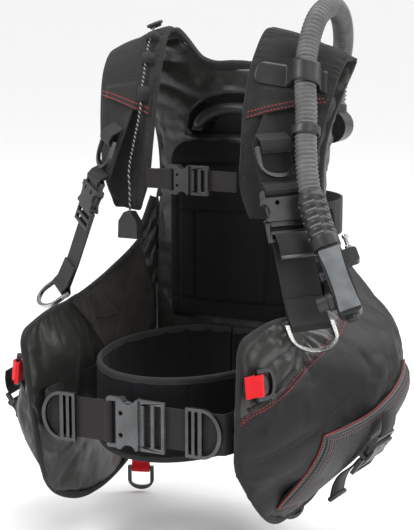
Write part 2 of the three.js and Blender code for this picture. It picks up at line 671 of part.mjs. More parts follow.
// A pocket's corners on the lobe's skin, as [u, v]: front top, back top, back bottom and front bottom.
const POCKET = {
  corners: [[0.28, 0.53], [0.68, 0.34], [0.72, 0.72], [0.24, 0.93]],
  lift: 16, // how far it stands off the lobe
  buckle: [0.47, 0.59],
  strapFoot: [0.47, 0.468],
};

function makePocket(sag) {
  const [frontTop, backTop, backBottom, frontBottom] = POCKET.corners;
  const across = (k, u, v) => mix(mix(frontTop[k], backTop[k], u), mix(frontBottom[k], backBottom[k], u), v);
  const skin = (raised) => (u, v) => {
    const puff = Math.pow((1 - (2 * v - 1) ** 6) * (1 - (2 * u - 1) ** 8), 0.5);
    return lobeSkin(across(0, u, v), across(1, u, v), true, sag, raised ? 4 + (POCKET.lift - 4) * puff : 1);
  };
  return slab(skin(true), skin(false), 10, 6);
}

// The pocket strap's webbing: sewn on near the pocket's top edge, then looped round its buckle's bar.
function makePocketWebbing(frame, sag) {
  const { femaleBar } = buckleSizes(WEB.pocket);
  const radius = Math.hypot(BUCKLE.bar, BUCKLE.frameThick) / 2 + 0.3 + WEB_THICK / 2;
  const toLocal = frame.clone().invert();
  const [across, foot] = POCKET.strapFoot;
  const sewn = [POCKET.lift - 9, POCKET.lift - 5].map((lift, k) =>
    lobeSkin(across, foot - 0.03 * (1 - k), true, sag, lift).applyMatrix4(toLocal).setX(0));
  const line = [[femaleBar + radius + 3, WEB_THICK / 2 + 0.2], ...roundBar(femaleBar, 0, radius),
    [femaleBar + radius + 3, -WEB_THICK / 2 - 0.2], [femaleBar + 12, -WEB_THICK / 2 - 0.8]];
  const points = [...sewn.reverse(), ...line.map(([y, z]) => V(0, y, z))];
  const lower = strip([[-2, BEHIND], [-30, BEHIND], [-38, BEHIND - 7], [-45, BEHIND - 15]], WEB.pocket);
  const upper = ribbon(points, points.map(() => V(WEB.pocket / 2, 0, 0)), WEB_THICK);
  return [upper, lower].map((webbing) => webbing.applyMatrix4(frame));
}

// The line of the shoulder webbing, from its D-ring on the pad down to the big ring on the lobe.
const SHOULDER = {
  ringAt: V(114, -50, 462),
  anchor: { left: V(183, -108, 262), right: V(176, -70, 269) },
  out: V(0.7, -0.7, 0.1),
  ringTilt: { left: 22, right: 38 }, // degrees that the big ring swings out over the lobe
  mouth: 92, // from the D-ring's bar down to the buckle's mouth
};

// Sewn on the pad, this webbing runs down in front of it to the upper buckle half. On the way a loop of
// it holds the D-ring.
function makeRingWebbing(frame) {
  const toLocal = frame.clone().invert();
  const turn = new THREE.Matrix4().extractRotation(toLocal);
  const padStations = [0.5, 0.56];
  const onPad = padStations.map((s) => strapPoint(s, 0.02, STRAP.thick / 2 + 2).applyMatrix4(toLocal));
  const across = padStations.map((s) => strapHalf.getPoint(s).setLength(WEB.shoulder / 2).applyMatrix4(turn));
  const { femaleBar } = buckleSizes(WEB.shoulder);
  const bar = femaleBar - SHOULDER.mouth;
  const radius = Math.hypot(BUCKLE.bar, BUCKLE.frameThick) / 2 + 0.3 + WEB_THICK / 2;
  const behind = -RING_LOOP - WEB_THICK - GAP;
  const line = [[8, behind], [bar + radius + 6, behind], [bar + radius + 2, -WEB_THICK / 2 - 0.3],
    ...roundBar(bar, 0, radius).map(([y, z]) => [y, -z]), [bar + radius + 3, WEB_THICK / 2 + 0.3],
    [bar + 14, behind + WEB_THICK + 0.4]];
  const points = [...onPad, ...line.map(([y, z]) => V(0, y, z))];
  const main = ribbon(points, points.map((p, i) => across[i] ?? V(WEB.shoulder / 2, 0, 0)), WEB_THICK);
  const loop = strip([[20, behind + 1], [8, 4.6], ...roundBar(0, 0, RING_LOOP), [8, -RING_LOOP - 0.5],
    [20, behind + 0.2]], WEB.ring);
  return joined(main, loop);
}

// The rings under the lobes: where on the lobe, how far in from its skin and below it, and which way
// they face. The left one hangs beside the pocket, the right one from the lobe's bottom edge.
const KEEL = {
  left: { at: [0.63, 0.92], inset: 17, drop: 16, facing: V(0.85, -0.5, 0) },
  right: { at: [0.84, 1], inset: 0, drop: 36, facing: V(-0.3, -0.95, 0) },
  reach: 32,
};
// The ring near a lobe's front edge: where on the lobe, and its tab's length.
const LOBE_RING = { u: 0.05, v: 0.31, tab: 18 };

for (const [group, end, sag] of [[leftSide, "left", SAG.left], [rightSide, "right", SAG.right]]) {
  piece(group, "lobe_" + end, makeLobe(sag), SHELL);

  // Shoulder: padded strap, D-ring in its webbing, then buckle, lower webbing and the big ring on the lobe.
  const sleeves = end === "right" ? DUMP.sleeves.map(makeSleeve) : [];
  piece(group, "shoulder_strap_" + end, joined(makeShoulderPad(), ...sleeves), CORDURA);
  const anchor = SHOULDER.anchor[end];
  const up = SHOULDER.ringAt.clone().sub(anchor).normalize();
  const ringFrame = placed(SHOULDER.ringAt, up, SHOULDER.out);
  const buckle = placed(SHOULDER.ringAt.clone().addScaledVector(up, -SHOULDER.mouth), up, SHOULDER.out);
  piece(group, "shoulder_ring_" + end, dRing(WEB.ring, 38), BLACK_STEEL, ringFrame);
  piece(group, "ring_webbing_" + end, makeRingWebbing(ringFrame), WEBBING, ringFrame);
  piece(group, "shoulder_buckle_female_" + end, buckleFemale(WEB.shoulder), PLASTIC, buckle);
  piece(group, "shoulder_buckle_male_" + end, buckleMale(WEB.shoulder), PLASTIC, buckle);

  const reach = SHOULDER.ringAt.distanceTo(anchor) - SHOULDER.mouth;
  const down = roundBar(0, 0, RING_LOOP).map(([y, z]) => [y - reach, z]).reverse();
  const lower = strip([[-2, BEHIND], [-reach + 40, BEHIND], [-reach + RING_LOOP + 3, BEHIND * 0.6], ...down,
    [-reach + RING_LOOP + 3, WEB_THICK / 2 + 0.4], [-reach + 34, BEHIND + WEB_THICK + 0.8]], WEB.shoulder);
  piece(group, "shoulder_webbing_" + end, lower, WEBBING, buckle);
  const bigRing = placed(anchor, up, SHOULDER.out);
  bigRing.multiply(new THREE.Matrix4().makeRotationX(-rad(SHOULDER.ringTilt[end])));
  piece(group, "strap_ring_" + end, dRing(WEB.shoulder, 38), STEEL, bigRing);

  // Lobe ring: a red tab from the front edge, folded out over the lobe.
  const lobeRing = onLobe(LOBE_RING.u, LOBE_RING.v, RING_LOOP + WEB_THICK + GAP + 1, 90, sag);
  piece(group, "lobe_tab_" + end, foldedTab(WEB.tab, LOBE_RING.tab), RED_WEB, lobeRing);
  piece(group, "lobe_ring_" + end, dRing(WEB.tab, 24), BLACK_STEEL, lobeRing);

  // Keel ring on a folded red tab.
  const keel = KEEL[end];
  const keelAt = lobeSkin(...keel.at, false, sag, -keel.inset).add(V(0, 0, -keel.drop));
  const keelFrame = placed(keelAt, V(0, 0, 1), keel.facing);
  piece(group, "keel_tab_" + end, foldedTab(WEB.tab, keel.drop - 4), RED_WEB, keelFrame);
  piece(group, "keel_ring_" + end, dRing(WEB.tab, KEEL.reach), BLACK_STEEL, keelFrame);

  // Pocket, with its strap's webbing sewn on, and the strap's buckle.
  const pocketFrame = onLobe(...POCKET.buckle, POCKET.lift + BUCKLE.thick / 2 + 2, 8, sag);
  piece(group, "pocket_" + end, joined(makePocket(sag), ...makePocketWebbing(pocketFrame, sag)), GREY_WEAVE);
  piece(group, "pocket_buckle_female_" + end, buckleFemale(WEB.pocket), PLASTIC, pocketFrame);
  piece(group, "pocket_buckle_male_" + end, buckleMale(WEB.pocket), PLASTIC, pocketFrame);
}

// ---------------------------------------------------------------- inflator hose and inflator, on the left

const HOSE_PATH = [[110, 172, 500], [114, 170, 538], [127, 150, 582], [136, 112, 615], [138, 70, 628],
  [135, 30, 614], [134, 2, 578], [139, -18, 541], [147, -34, 505], [154, -52, 462], [165, -68, 418],
  [182, -82, 380], [198, -92, 352]];

// A plain round tube along the smooth curve through points.
function tube(points, radius, steps, sides) {
  const section = new THREE.Shape();
  section.absarc(0, 0, radius, 0, 2 * Math.PI);
  const settings = { extrudePath: curveOf(points), steps, curveSegments: sides, bevelEnabled: false };
  return new THREE.ExtrudeGeometry(section, settings);
}

// A frame on the hose's middle at t of its length, local z along the hose.
function onHose(t) {
  const path = curveOf(HOSE_PATH);
  const tangent = path.getTangentAt(t);
  return placed(path.getPointAt(t), tangent.clone().cross(V(1, 0, 0)), tangent);
}

// The hose ends in a thicker strain relief that is moulded on.
const BOOT = { radius: 18, from: 0.86 };
function makeHose() {
  const path = curveOf(HOSE_PATH);
  const lower = [0, 0.25, 0.5, 0.75, 1].map((k) => path.getPointAt(mix(BOOT.from, 1, k)).toArray());
  return joined(tube(HOSE_PATH, HOSE_RADIUS, 26, 12), tube(lower, BOOT.radius, 6, 12));
}
piece(middle, "corrugated_hose", makeHose(), RUBBER);

// A split ring round the hose with a hook for the low-pressure hose beside it.
function makeHoseClip() {
  const inner = HOSE_RADIUS + 0.8;
  const ring = joined(rod(inner + 3, -5, 5, 20), box(-4, -inner - 11, -5, 4, -inner, 5));
  return cut(ring, rod(inner, -9, 9, 20), rod(3.2, -9, 9, 10).translate(0, -inner - 6.2, 0));
}
piece(middle, "hose_clip", makeHoseClip(), PLASTIC, onHose(0.72));

const elbowAt = V(...HOSE_PATH[0]).add(V(0, 0, -GAP));
const elbow = joined(
  rod(HOSE_RADIUS + 1.5, -34, -1.6, 16),
  rod(22, -12, 21, 20).rotateX(Math.PI / 2).translate(0, 0, -30),
);
piece(middle, "shoulder_elbow", elbow, PLASTIC, new THREE.Matrix4().setPosition(elbowAt));

const INFLATOR = { half: 14, length: 84, thick: 2 * HOSE_RADIUS - 1, button: 7.5, travel: 4 };
const hoseEnd = V(...HOSE_PATH.at(-1));
const hoseLast = V(...HOSE_PATH.at(-2));
const inflatorUp = hoseLast.clone().sub(hoseEnd).normalize();
const inflatorTop = hoseEnd.clone().addScaledVector(inflatorUp, -GAP - 1);
const inflatorFrame = placed(inflatorTop, inflatorUp, V(0.45, -0.88, 0));

const PORT = { x: 24, y: -8 }; // where the low-pressure nipple stands on the body
function makeInflatorBody() {
  const { half, length, thick, button, travel } = INFLATOR;
  const body = plate(rounded(-half, -length, half, 0, 7), -thick / 2, thick / 2, 3);
  const neck = rod(HOSE_RADIUS, -10, 0, 16).rotateX(-Math.PI / 2);
  const side = rod(button + 0.4, 0, 12, 16).rotateY(-Math.PI / 2).translate(-half + 8, -30, 0);
  const end = rod(button + 0.4, -12, 0, 16).rotateX(-Math.PI / 2).translate(0, -length + travel + 4, 0);
  const port = plate(rounded(0, -26, PORT.x + 7, PORT.y, 4), -8, 8, 3);
  return cut(joined(body, neck, port), side, end);
}

// The cover plate: an hourglass outline on the inflator's outer face.
const COVER = { top: 13, waist: 8.5, thick: 3 };
function makeInflatorCover() {
  const { length, thick } = INFLATOR;
  const { top, waist } = COVER;
  const low = -length + 5;
  const shape = new THREE.Shape();
  shape.moveTo(-top, -3).quadraticCurveTo(-waist, (low - 3) / 2, -top, low).lineTo(top, low);
  shape.quadraticCurveTo(waist, (low - 3) / 2, top, -3);
  return plate(shape, thick / 2 + GAP, thick / 2 + GAP + COVER.thick, 5);
}
piece(middle, "inflator_cover", makeInflatorCover(), GREY_WEAVE, inflatorFrame);

const inflateButton = rod(INFLATOR.button, 0, 9, 16).rotateY(-Math.PI / 2)
  .translate(-INFLATOR.half + 3, -30, 0);
const deflateButton = rod(INFLATOR.button, -9, 0, 16).rotateX(-Math.PI / 2);
piece(middle, "inflator_body", makeInflatorBody(), PLASTIC, inflatorFrame);
piece(middle, "inflate_button", inflateButton, PLASTIC, inflatorFrame);
piece(middle, "deflate_button", deflateButton.translate(0, -INFLATOR.length + 3, 0), PLASTIC, inflatorFrame);

function makeMouthpiece() {
  const oval = (a, b) => {
    const shape = new THREE.Shape();
    shape.absellipse(0, 0, a, b, 0, 2 * Math.PI);
    return shape;
  };
  const rim = oval(15, 11);
  const bore = plate(oval(9, 6), 4, 30, 6);
  return cut(joined(plate(rim, 0, 7, 6), plate(oval(12, 9), 7, 20, 6)), bore);
}
const mouthpiece = makeMouthpiece().rotateY(-Math.PI / 2).translate(-INFLATOR.half - GAP, -60, 0);
piece(middle, "mouthpiece", mouthpiece, RUBBER, inflatorFrame);

const nippleOutline = [[0, 0], [5, 0], [5, 4], [3.2, 5], [3.2, 14], [4.2, 15], [4.2, 18], [0, 18]];
const nipple = new THREE.LatheGeometry(nippleOutline.map(([x, y]) => new THREE.Vector2(x, y)), 12);
piece(middle, "quick_connect_nipple", nipple.translate(PORT.x, PORT.y + GAP, 0), STEEL, inflatorFrame);

// The hose's middle where it crosses a frame's local x-z plane, in that frame.
function hoseAcross(frame) {
  const toLocal = frame.clone().invert();
  const points = curveOf(HOSE_PATH).getPoints(300).map((p) => p.applyMatrix4(toLocal));
  const far = (p) => Math.abs(p.y) + p.length() * 0.01;
  return points.reduce((a, b) => (far(b) < far(a) ? b : a));
}

// The keeper: a rubber flap across the shoulder pad that the hose passes under.
const KEEPER = { s: 0.43, width: 28, thick: 2.4, clear: 1.2, from: -46, to: 46 };
const keeperFrame = onStrap(KEEPER.s, 0, STRAP.thick / 2 + GAP);
function makeHoseKeeper() {
  const [above, below] = [0.5, -0.5].map((share) => {
    const edge = new THREE.Matrix4().makeTranslation(0, share * KEEPER.width, 0);
    return hoseAcross(keeperFrame.clone().multiply(edge));
  });
  const hose = above.clone().add(below).multiplyScalar(0.5);
  // The arch follows the hose across the keeper.
  const slant = V((above.x - below.x) / 2, KEEPER.width / 2, (above.z - below.z) / 2);
  const radius = HOSE_RADIUS + KEEPER.clear + KEEPER.thick / 2;
  const arch = [...Array(9).keys()].map((k) => {
    const angle = Math.PI - (Math.PI * k) / 8;
    return [hose.x + radius * Math.cos(angle), hose.z + radius * Math.sin(angle)];
  });
  const low = 1.5;
  const points = [[KEEPER.from, low], [hose.x - radius - 6, low + 1], ...arch,
    [hose.x + radius + 4, low + 1], [KEEPER.to, low]];
  const level = V(0, KEEPER.width / 2, 0);
  const halves = points.map((p, i) => (i === 0 || i === points.length - 1 ? level : slant));
  return ribbon(points.map(([x, z]) => V(x, 0, z)), halves, KEEPER.thick);
}
piece(middle, "hose_keeper", makeHoseKeeper(), RUBBER, keeperFrame);

// ---------------------------------------------------------------- right shoulder dump valve and its pull

const mirrored = (p) => V(-p.x, p.y, p.z);
const valveAt = mirrored(strapPoint(0.1, -0.6, STRAP.thick / 2 + 1.5));
const valveOut = mirrored(strapPoint(0.1, -0.6, 30)).sub(valveAt);
const valve = joined(rod(8, 0, 3, 16), rod(11, 3, 7, 16));
const valveUp = valveOut.clone().cross(V(1, 0, 0));
piece(middle, "dump_valve", valve, PLASTIC, placed(valveAt, valveUp, valveOut));

const cordTop = [0.17, 0.24, 0.31, 0.38, 0.46, 0.53, 0.61]
  .map((s) => mirrored(strapPoint(s, DUMP.across, STRAP.thick / 2 + DUMP.height)).toArray());
const hang = [-84, -52];
const cordPath = [...cordTop, [...hang, 430], [...hang, 400], [...hang, DUMP.knobTop - DUMP.inKnob]];
piece(middle, "pull_cord", tube(cordPath, DUMP.cordRadius, 24, 8), CORD);

function makeKnob() {
  const taper = outline([[-5, 0], [5, 0], [13, -12], [14, -DUMP.knob], [-14, -DUMP.knob], [-13, -12]]);
  const bore = rod(DUMP.cordRadius + 0.5, -DUMP.inKnob - 2, 1, 10);
  return cut(plate(taper, -8, 8).rotateX(Math.PI / 2), bore);
}
piece(middle, "pull_knob", makeKnob(), RUBBER, new THREE.Matrix4().setPosition(V(...hang, DUMP.knobTop)));

// ---------------------------------------------------------------- the part's own frame

vest.position.set(0, -SEAT_Y, -SEAT.z);

export default vest;
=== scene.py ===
"""The looks of a jacket-style buoyancy compensator vest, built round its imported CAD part.

Shapes are worked out in a torso frame in millimetres, as in the part's source: y = 0 on the torso's axis
and z = 0 at the lobes' lowest line. row() turns them into the part's own frame in metres."""

import math

import bmesh
import bpy
import numpy as np
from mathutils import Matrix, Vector, noise
from mathutils.bvhtree import BVHTree


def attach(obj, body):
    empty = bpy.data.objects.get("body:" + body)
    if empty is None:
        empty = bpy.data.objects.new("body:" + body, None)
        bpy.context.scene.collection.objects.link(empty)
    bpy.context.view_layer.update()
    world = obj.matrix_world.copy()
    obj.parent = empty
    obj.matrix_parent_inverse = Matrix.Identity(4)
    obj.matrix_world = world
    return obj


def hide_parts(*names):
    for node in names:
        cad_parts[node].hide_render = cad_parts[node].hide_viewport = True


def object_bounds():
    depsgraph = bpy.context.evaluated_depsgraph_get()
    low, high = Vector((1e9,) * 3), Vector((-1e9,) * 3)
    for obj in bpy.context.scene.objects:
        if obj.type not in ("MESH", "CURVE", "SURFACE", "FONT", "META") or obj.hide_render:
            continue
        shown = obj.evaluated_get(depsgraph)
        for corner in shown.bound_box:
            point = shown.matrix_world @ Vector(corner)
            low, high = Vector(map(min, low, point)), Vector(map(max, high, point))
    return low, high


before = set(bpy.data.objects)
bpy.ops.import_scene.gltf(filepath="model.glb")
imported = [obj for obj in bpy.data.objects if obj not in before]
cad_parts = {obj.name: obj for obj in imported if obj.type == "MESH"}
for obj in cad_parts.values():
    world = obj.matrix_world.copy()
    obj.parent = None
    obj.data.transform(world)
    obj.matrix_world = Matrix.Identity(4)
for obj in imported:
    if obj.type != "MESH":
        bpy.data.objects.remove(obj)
CAD_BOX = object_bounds()

# ---------------------------------------------------------------- sizes, in millimetres but for the floor

SEAT = (0.0, 140.5, 380.0)  # the part's origin, in the torso frame
EDGE = 6.0  # a shell panel's thickness at its bound edge
BINDING = 11.0  # how far the binding tape reaches in from an edge
STITCH = (3.0, 0.8, 0.4)  # a stitch's length, width and height
STITCH_GAP = 1.6

LOBE_TOP = [(143, -222, 264), (150, -150, 271), (157, -85, 267), (165, -22, 267), (160, 44, 284),
            (141, 88, 318), (124, 104, 372)]
LOBE_BOTTOM = [(132, -206, 105), (143, -160, 42), (140, -105, 9), (138, -50, 0), (142, 16, 2),
               (140, 72, 20), (126, 104, 52)]
LOBE_OUTWARD = [(0, 0, 0), (34, -12, 0), (64, -6, 0), (88, 0, 0), (94, 10, 0), (70, 40, 0), (0, 24, 0)]
LOBE_INWARD = [(0, 0, 0), (-14, 8, 0), (-18, 0, 0), (-20, 0, 0), (-16, -8, 0), (-8, -10, 0), (0, 0, 0)]
SAG = {"left": 0.0, "right": 20.0}
FULLEST = (0.56, 0.4)  # share of a lobe's height down to where it stands out most: at its front, at its side
LOBE_EDGE = 1.7  # half the thickness of a lobe's sewn edge
# How far the front's top and bottom corners are rounded, along u and v.
FRONT_ROUND = ((0.045, 0.12), (0.03, 0.09))
# Seams over a lobe: how far down they meet the front edge, where along the top they end, and their bend.
RED_SEAM = {"front": 0.72, "end": 0.62, "bend": 0.46}
LOWER_SEAM = {"front": 1.25, "end": 1.0, "bend": 0.38}
ZIP_ABOVE_SEAM = 0.035  # share of the lobe's height

STRAP_CENTRE = [(118, 60, 581), (117, 42, 580), (115, 25, 566), (112, 8, 540), (109, -7, 500),
                (106, -18, 455), (102, -27, 412), (97, -33, 372)]
STRAP_HALF = [(50, 14, -18), (50, 14, -17), (50, 15, -13), (50, 16, -8), (48, 17, -3),
              (44, 15, 0), (38, 13, 0), (20, 7, 0)]
STRAP_THICK = 15.0

BACK_NECK_TOP = 556.0
BACK_RIDGE = ((68, 597), (168, 561))
BACK_ARMHOLE = [(400, 118), (461, 124), (520, 146)]
BACK_CURL = 38.0
PAD = {"half": 92.0, "bottom": 212.0, "top": 450.0, "thick": 14.0, "corner": 30.0}

HOSE_PATH = [(110, 172, 500), (114, 170, 538), (127, 150, 582), (136, 112, 615), (138, 70, 628),
             (135, 30, 614), (134, 2, 578), (139, -18, 541), (147, -34, 505), (154, -52, 462),
             (165, -68, 418), (182, -82, 380), (198, -92, 352)]
HOSE = {"radius": 13.5, "groove": 2.0, "pitch": 5.4, "boot": 18.0, "boot_from": 0.86}
POCKET_CORNERS = [(0.28, 0.53), (0.68, 0.34), (0.72, 0.72), (0.24, 0.93)]
POCKET_LIFT = 16.0
CORD_ACROSS = -0.72
CORD_HEIGHT = 5.5
CORD_HANG = (-84, -52)
KNOB_TOP = 372.0
CUMMERBUND = {"y": -50.0, "half": 106.0, "deep": 141.0, "bottom": 104.0, "top": 199.0, "flat": 83.0}
HANDLE = {"half": 54.5, "rise": 31.0, "z": 464.0, "y": 87.0, "radius": 8.5}
FLOOR = 200.0  # half the floor's side, in metres
KEEPER = {"s": 0.43, "half": 14.0, "reach": 46.0, "thick": 2.2}

# ---------------------------------------------------------------- small tools


def row(points):
    """Points of the torso frame, in millimetres, in the part's frame, in metres."""
    return (np.asarray(points, float) - SEAT) / 1000.0


def spline(points):
    """A function of t, 0 to 1, through evenly counted points: the uniform Catmull-Rom curve."""
    p = np.asarray(points, float)
    p = np.vstack([2 * p[0] - p[1], p, 2 * p[-1] - p[-2]])

    def at(t):
        t = np.clip(np.atleast_1d(np.asarray(t, float)), 0, 1) * (len(p) - 3)
        i = np.minimum(t.astype(int), len(p) - 4)
        s = (t - i)[:, None]
        a, b, c, d = p[i], p[i + 1], p[i + 2], p[i + 3]
        slope_b, slope_c = (c - a) / 2, (d - b) / 2
        return ((2 * b - 2 * c + slope_b + slope_c) * s**3 + (3 * c - 3 * b - 2 * slope_b - slope_c) * s**2
                + slope_b * s + b)

    return at


def torso(points):
    """The other way round from row()."""
    return np.asarray(points, float) * 1000.0 + SEAT


def unit(v):
    v = np.asarray(v, float)
    return v / np.maximum(np.linalg.norm(v, axis=-1, keepdims=True), 1e-12)


def smooth(t, a, b):
    s = np.clip((np.asarray(t, float) - a) / (b - a), 0, 1)
    return s * s * (3 - 2 * s)


def keyed(keys, t):
    """A smooth value at t through (t, value) keys."""
    keys = np.asarray(keys, float)
    ahead = np.minimum(np.arange(len(keys)) + 1, len(keys) - 1)
    behind = np.maximum(np.arange(len(keys)) - 1, 0)
    slopes = (keys[ahead, 1] - keys[behind, 1]) / (keys[ahead, 0] - keys[behind, 0])
    t = np.clip(t, keys[0, 0], keys[-1, 0])
    i = int(np.clip(np.searchsorted(keys[:, 0], t) - 1, 0, len(keys) - 2))
    span = keys[i + 1, 0] - keys[i, 0]
    s = (t - keys[i, 0]) / span
    rise = s * s * (3 - 2 * s)
    return (keys[i, 1] + (keys[i + 1, 1] - keys[i, 1]) * rise
            + span * (slopes[i] * s * (1 - s) ** 2 - slopes[i + 1] * s * s * (1 - s)))


def crumple(points, scale, stretch=(1, 1, 1), seed=0.0):
    """Soft ridges, 0 to 1, over points in metres: scale in metres, stretch lengthens them along an axis."""
    q = np.asarray(points) / scale / np.asarray(stretch, float)
    out = np.empty(len(q))
    for i, (x, y, z) in enumerate(q):
        warp = noise.noise(Vector((x * 0.6 + seed, y * 0.6, z * 0.6)))
        n = noise.noise(Vector((x + warp, y + seed, z - warp)))
        out[i] = 1 - min(1.0, abs(n) * 2.6)
    return out**2


def mirrored(points):
    return np.asarray(points, float) * (-1, 1, 1)


def on_vest(obj):
    """obj rides on the vest's body."""
    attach(obj, "vest")
    return obj


def new_object(name, vertices, faces, material):
    mesh = bpy.data.meshes.new(name)
    mesh.from_pydata([tuple(v) for v in np.asarray(vertices, float)], [], [tuple(f) for f in faces])
    mesh.update()
    mesh.polygons.foreach_set("use_smooth", [True] * len(mesh.polygons))
    obj = bpy.data.objects.new(name, mesh)
    bpy.context.scene.collection.objects.link(obj)
    mesh.materials.append(material)
    return obj


def mesh_of(first, second, nu, nv):
    """Two flat arrays that run over a grid: each argument is its own (start, end)."""
    grid = np.meshgrid(np.linspace(*first, nu + 1), np.linspace(*second, nv + 1), indexing="ij")
    return [axis.ravel() for axis in grid]


def grid_faces(nu, nv, offset=0, flip=False):
    faces = []
    for i in range(nu):
        for j in range(nv):
            a = offset + i * (nv + 1) + j
            quad = (a, a + nv + 1, a + nv + 2, a + 1)
            faces.append(quad[::-1] if flip else quad)
    return faces


def set_uv(obj, uv):
    """A UV map from each vertex's own coordinates, in metres."""
    layer = obj.data.uv_layers.new(name="cloth")
    loops = np.empty(len(obj.data.loops), int)
    obj.data.loops.foreach_get("vertex_index", loops)
    layer.data.foreach_set("uv", np.asarray(uv, float)[loops].ravel())


def facing_out(obj):
    bm = bmesh.new()
    bm.from_mesh(obj.data)
    bmesh.ops.recalc_face_normals(bm, faces=bm.faces)
    bm.to_mesh(obj.data)
    bm.free()


def slab(name, outer, inner, material, uv_scale=(0.3, 0.3)):
    """A closed piece between two grids of points, both (nu + 1, nv + 1, 3), in millimetres."""
    nu, nv = outer.shape[0] - 1, outer.shape[1] - 1
    points = np.vstack([row(outer).reshape(-1, 3), row(inner).reshape(-1, 3)])
    half = (nu + 1) * (nv + 1)
    faces = grid_faces(nu, nv) + grid_faces(nu, nv, half, flip=True)
    ring = ([i * (nv + 1) for i in range(nu)] + [nu * (nv + 1) + j for j in range(nv)]
            + [i * (nv + 1) + nv for i in range(nu, 0, -1)] + [j for j in range(nv, 0, -1)])
    for a, b in zip(ring, ring[1:] + ring[:1]):
        faces.append((b, a, a + half, b + half))
    obj = new_object(name, points, faces, material)
    flat = np.stack(mesh_of((0, uv_scale[0]), (0, uv_scale[1]), nu, nv), axis=1)
    set_uv(obj, np.vstack([flat, flat]))
    facing_out(obj)
    return obj


def sweep(name, line, profile, sides, ups, material):
    """A profile of (side, up) points, in millimetres, carried along a line."""
    line, sides, ups = (np.asarray(a, float) for a in (line, sides, ups))
    n, k = len(line), len(profile)
    points = [row(line[i] + s * sides[i] + u * ups[i]) for i in range(n) for s, u in profile]
    faces = []
    for i in range(n - 1):
        for j in range(k):
            a, b = i * k + j, i * k + (j + 1) % k
            faces.append((a, b, b + k, a + k))
    faces += [tuple(range(k)), tuple((n - 1) * k + j for j in range(k))[::-1]]
    obj = new_object(name, points, faces, material)
    facing_out(obj)
    return obj


def side_frames(line, up_hint):
    """Unit tangents, sides and ups along a line."""
    tangents = unit(np.gradient(np.asarray(line, float), axis=0))
    sides = unit(np.cross(tangents, np.broadcast_to(up_hint, tangents.shape)))
    return tangents, sides, np.cross(sides, tangents)


def tube(name, line, radii, material, sides=16):
    """A round tube along a line, in millimetres, with a radius at each point."""
    line = np.asarray(line, float)
    tangents = unit(np.gradient(line, axis=0))
    side = unit(np.cross(tangents[0], (0.3, 0.9, 0.2)))
    points = []
    for i, tangent in enumerate(tangents):
        side = unit(side - tangent * side.dot(tangent))
        up = np.cross(tangent, side)
        for k in range(sides):
            angle = 2 * math.pi * k / sides
            points.append(row(line[i] + radii[i] * (math.cos(angle) * side + math.sin(angle) * up)))
    faces = []
    for i in range(len(line) - 1):
        for k in range(sides):
            a, b = i * sides + k, i * sides + (k + 1) % sides
            faces.append((a, b, b + sides, a + sides))
    faces += [tuple(range(sides))[::-1], tuple((len(line) - 1) * sides + k for k in range(sides))]
    obj = new_object(name, points, faces, material)
    facing_out(obj)
    return obj


def even(line, step):
    """The line again with points evenly step apart, and how far along each is."""
    line = np.asarray(line, float)
    along = np.concatenate([[0], np.cumsum(np.linalg.norm(np.diff(line, axis=0), axis=1))])
    at = np.linspace(0, along[-1], max(2, int(round(along[-1] / step)) + 1))
    return np.stack([np.interp(at, along, line[:, k]) for k in range(3)], axis=1), at


def stitches(name, line, normals, material, size=STITCH, gap=STITCH_GAP):
    """A row of stitches along a line on a surface: each is a short thread that dips at its ends."""
    length, width, height = size
    dense, _ = even(line, 0.5)
    source = np.linspace(0, 1, len(normals))
    spread = np.stack([np.interp(np.linspace(0, 1, len(dense)), source, np.asarray(normals)[:, k])
                       for k in range(3)], axis=1)
    step = max(1, int(round((length + gap) / 0.5)))
    reach = int(round(length / 0.5))
    points, faces = [], []
    for start in range(0, len(dense) - reach, step):
        a, m, b = dense[start], dense[start + reach // 2], dense[start + reach]
        up = unit(spread[start + reach // 2])
        side = unit(np.cross(b - a, up)) * width / 2
        base = len(points)
        for p, rise, wide in ((a, -0.2, 0.6), (m, height, 1), (b, -0.2, 0.6)):
            points += [row(p + side * wide - up * 0.2), row(p + up * rise), row(p - side * wide - up * 0.2)]
        for k in (0, 3):
            faces += [(base + k, base + k + 1, base + k + 4, base + k + 3),
                      (base + k + 1, base + k + 2, base + k + 5, base + k + 4)]
    return new_object(name, points, faces, material)


def skin_of(obj):
    """A tree that finds the nearest point of an object's surface."""
    return BVHTree.FromPolygons([v.co for v in obj.data.vertices], [p.vertices for p in obj.data.polygons])


def laid_on(tree, points, lift, guide):
    """Points moved onto a surface and lifted off it, in millimetres, with its normals.

    guide holds roughly the normals, so a point never lands on the far side of a thin piece."""
    places, normals = [], []
    for point, hint in zip(row(points), np.broadcast_to(guide, np.shape(points))):
        hint = Vector(hint).normalized()
        hit, normal, _, _ = tree.ray_cast(Vector(point) + hint * 0.03, -hint)
        if hit is None:
            hit, normal, _, _ = tree.find_nearest(Vector(point))
        places.append(torso(hit) + np.array(normal) * lift)
        normals.append(normal)
    return np.array(places), unit(np.array(normals))


# ---------------------------------------------------------------- materials


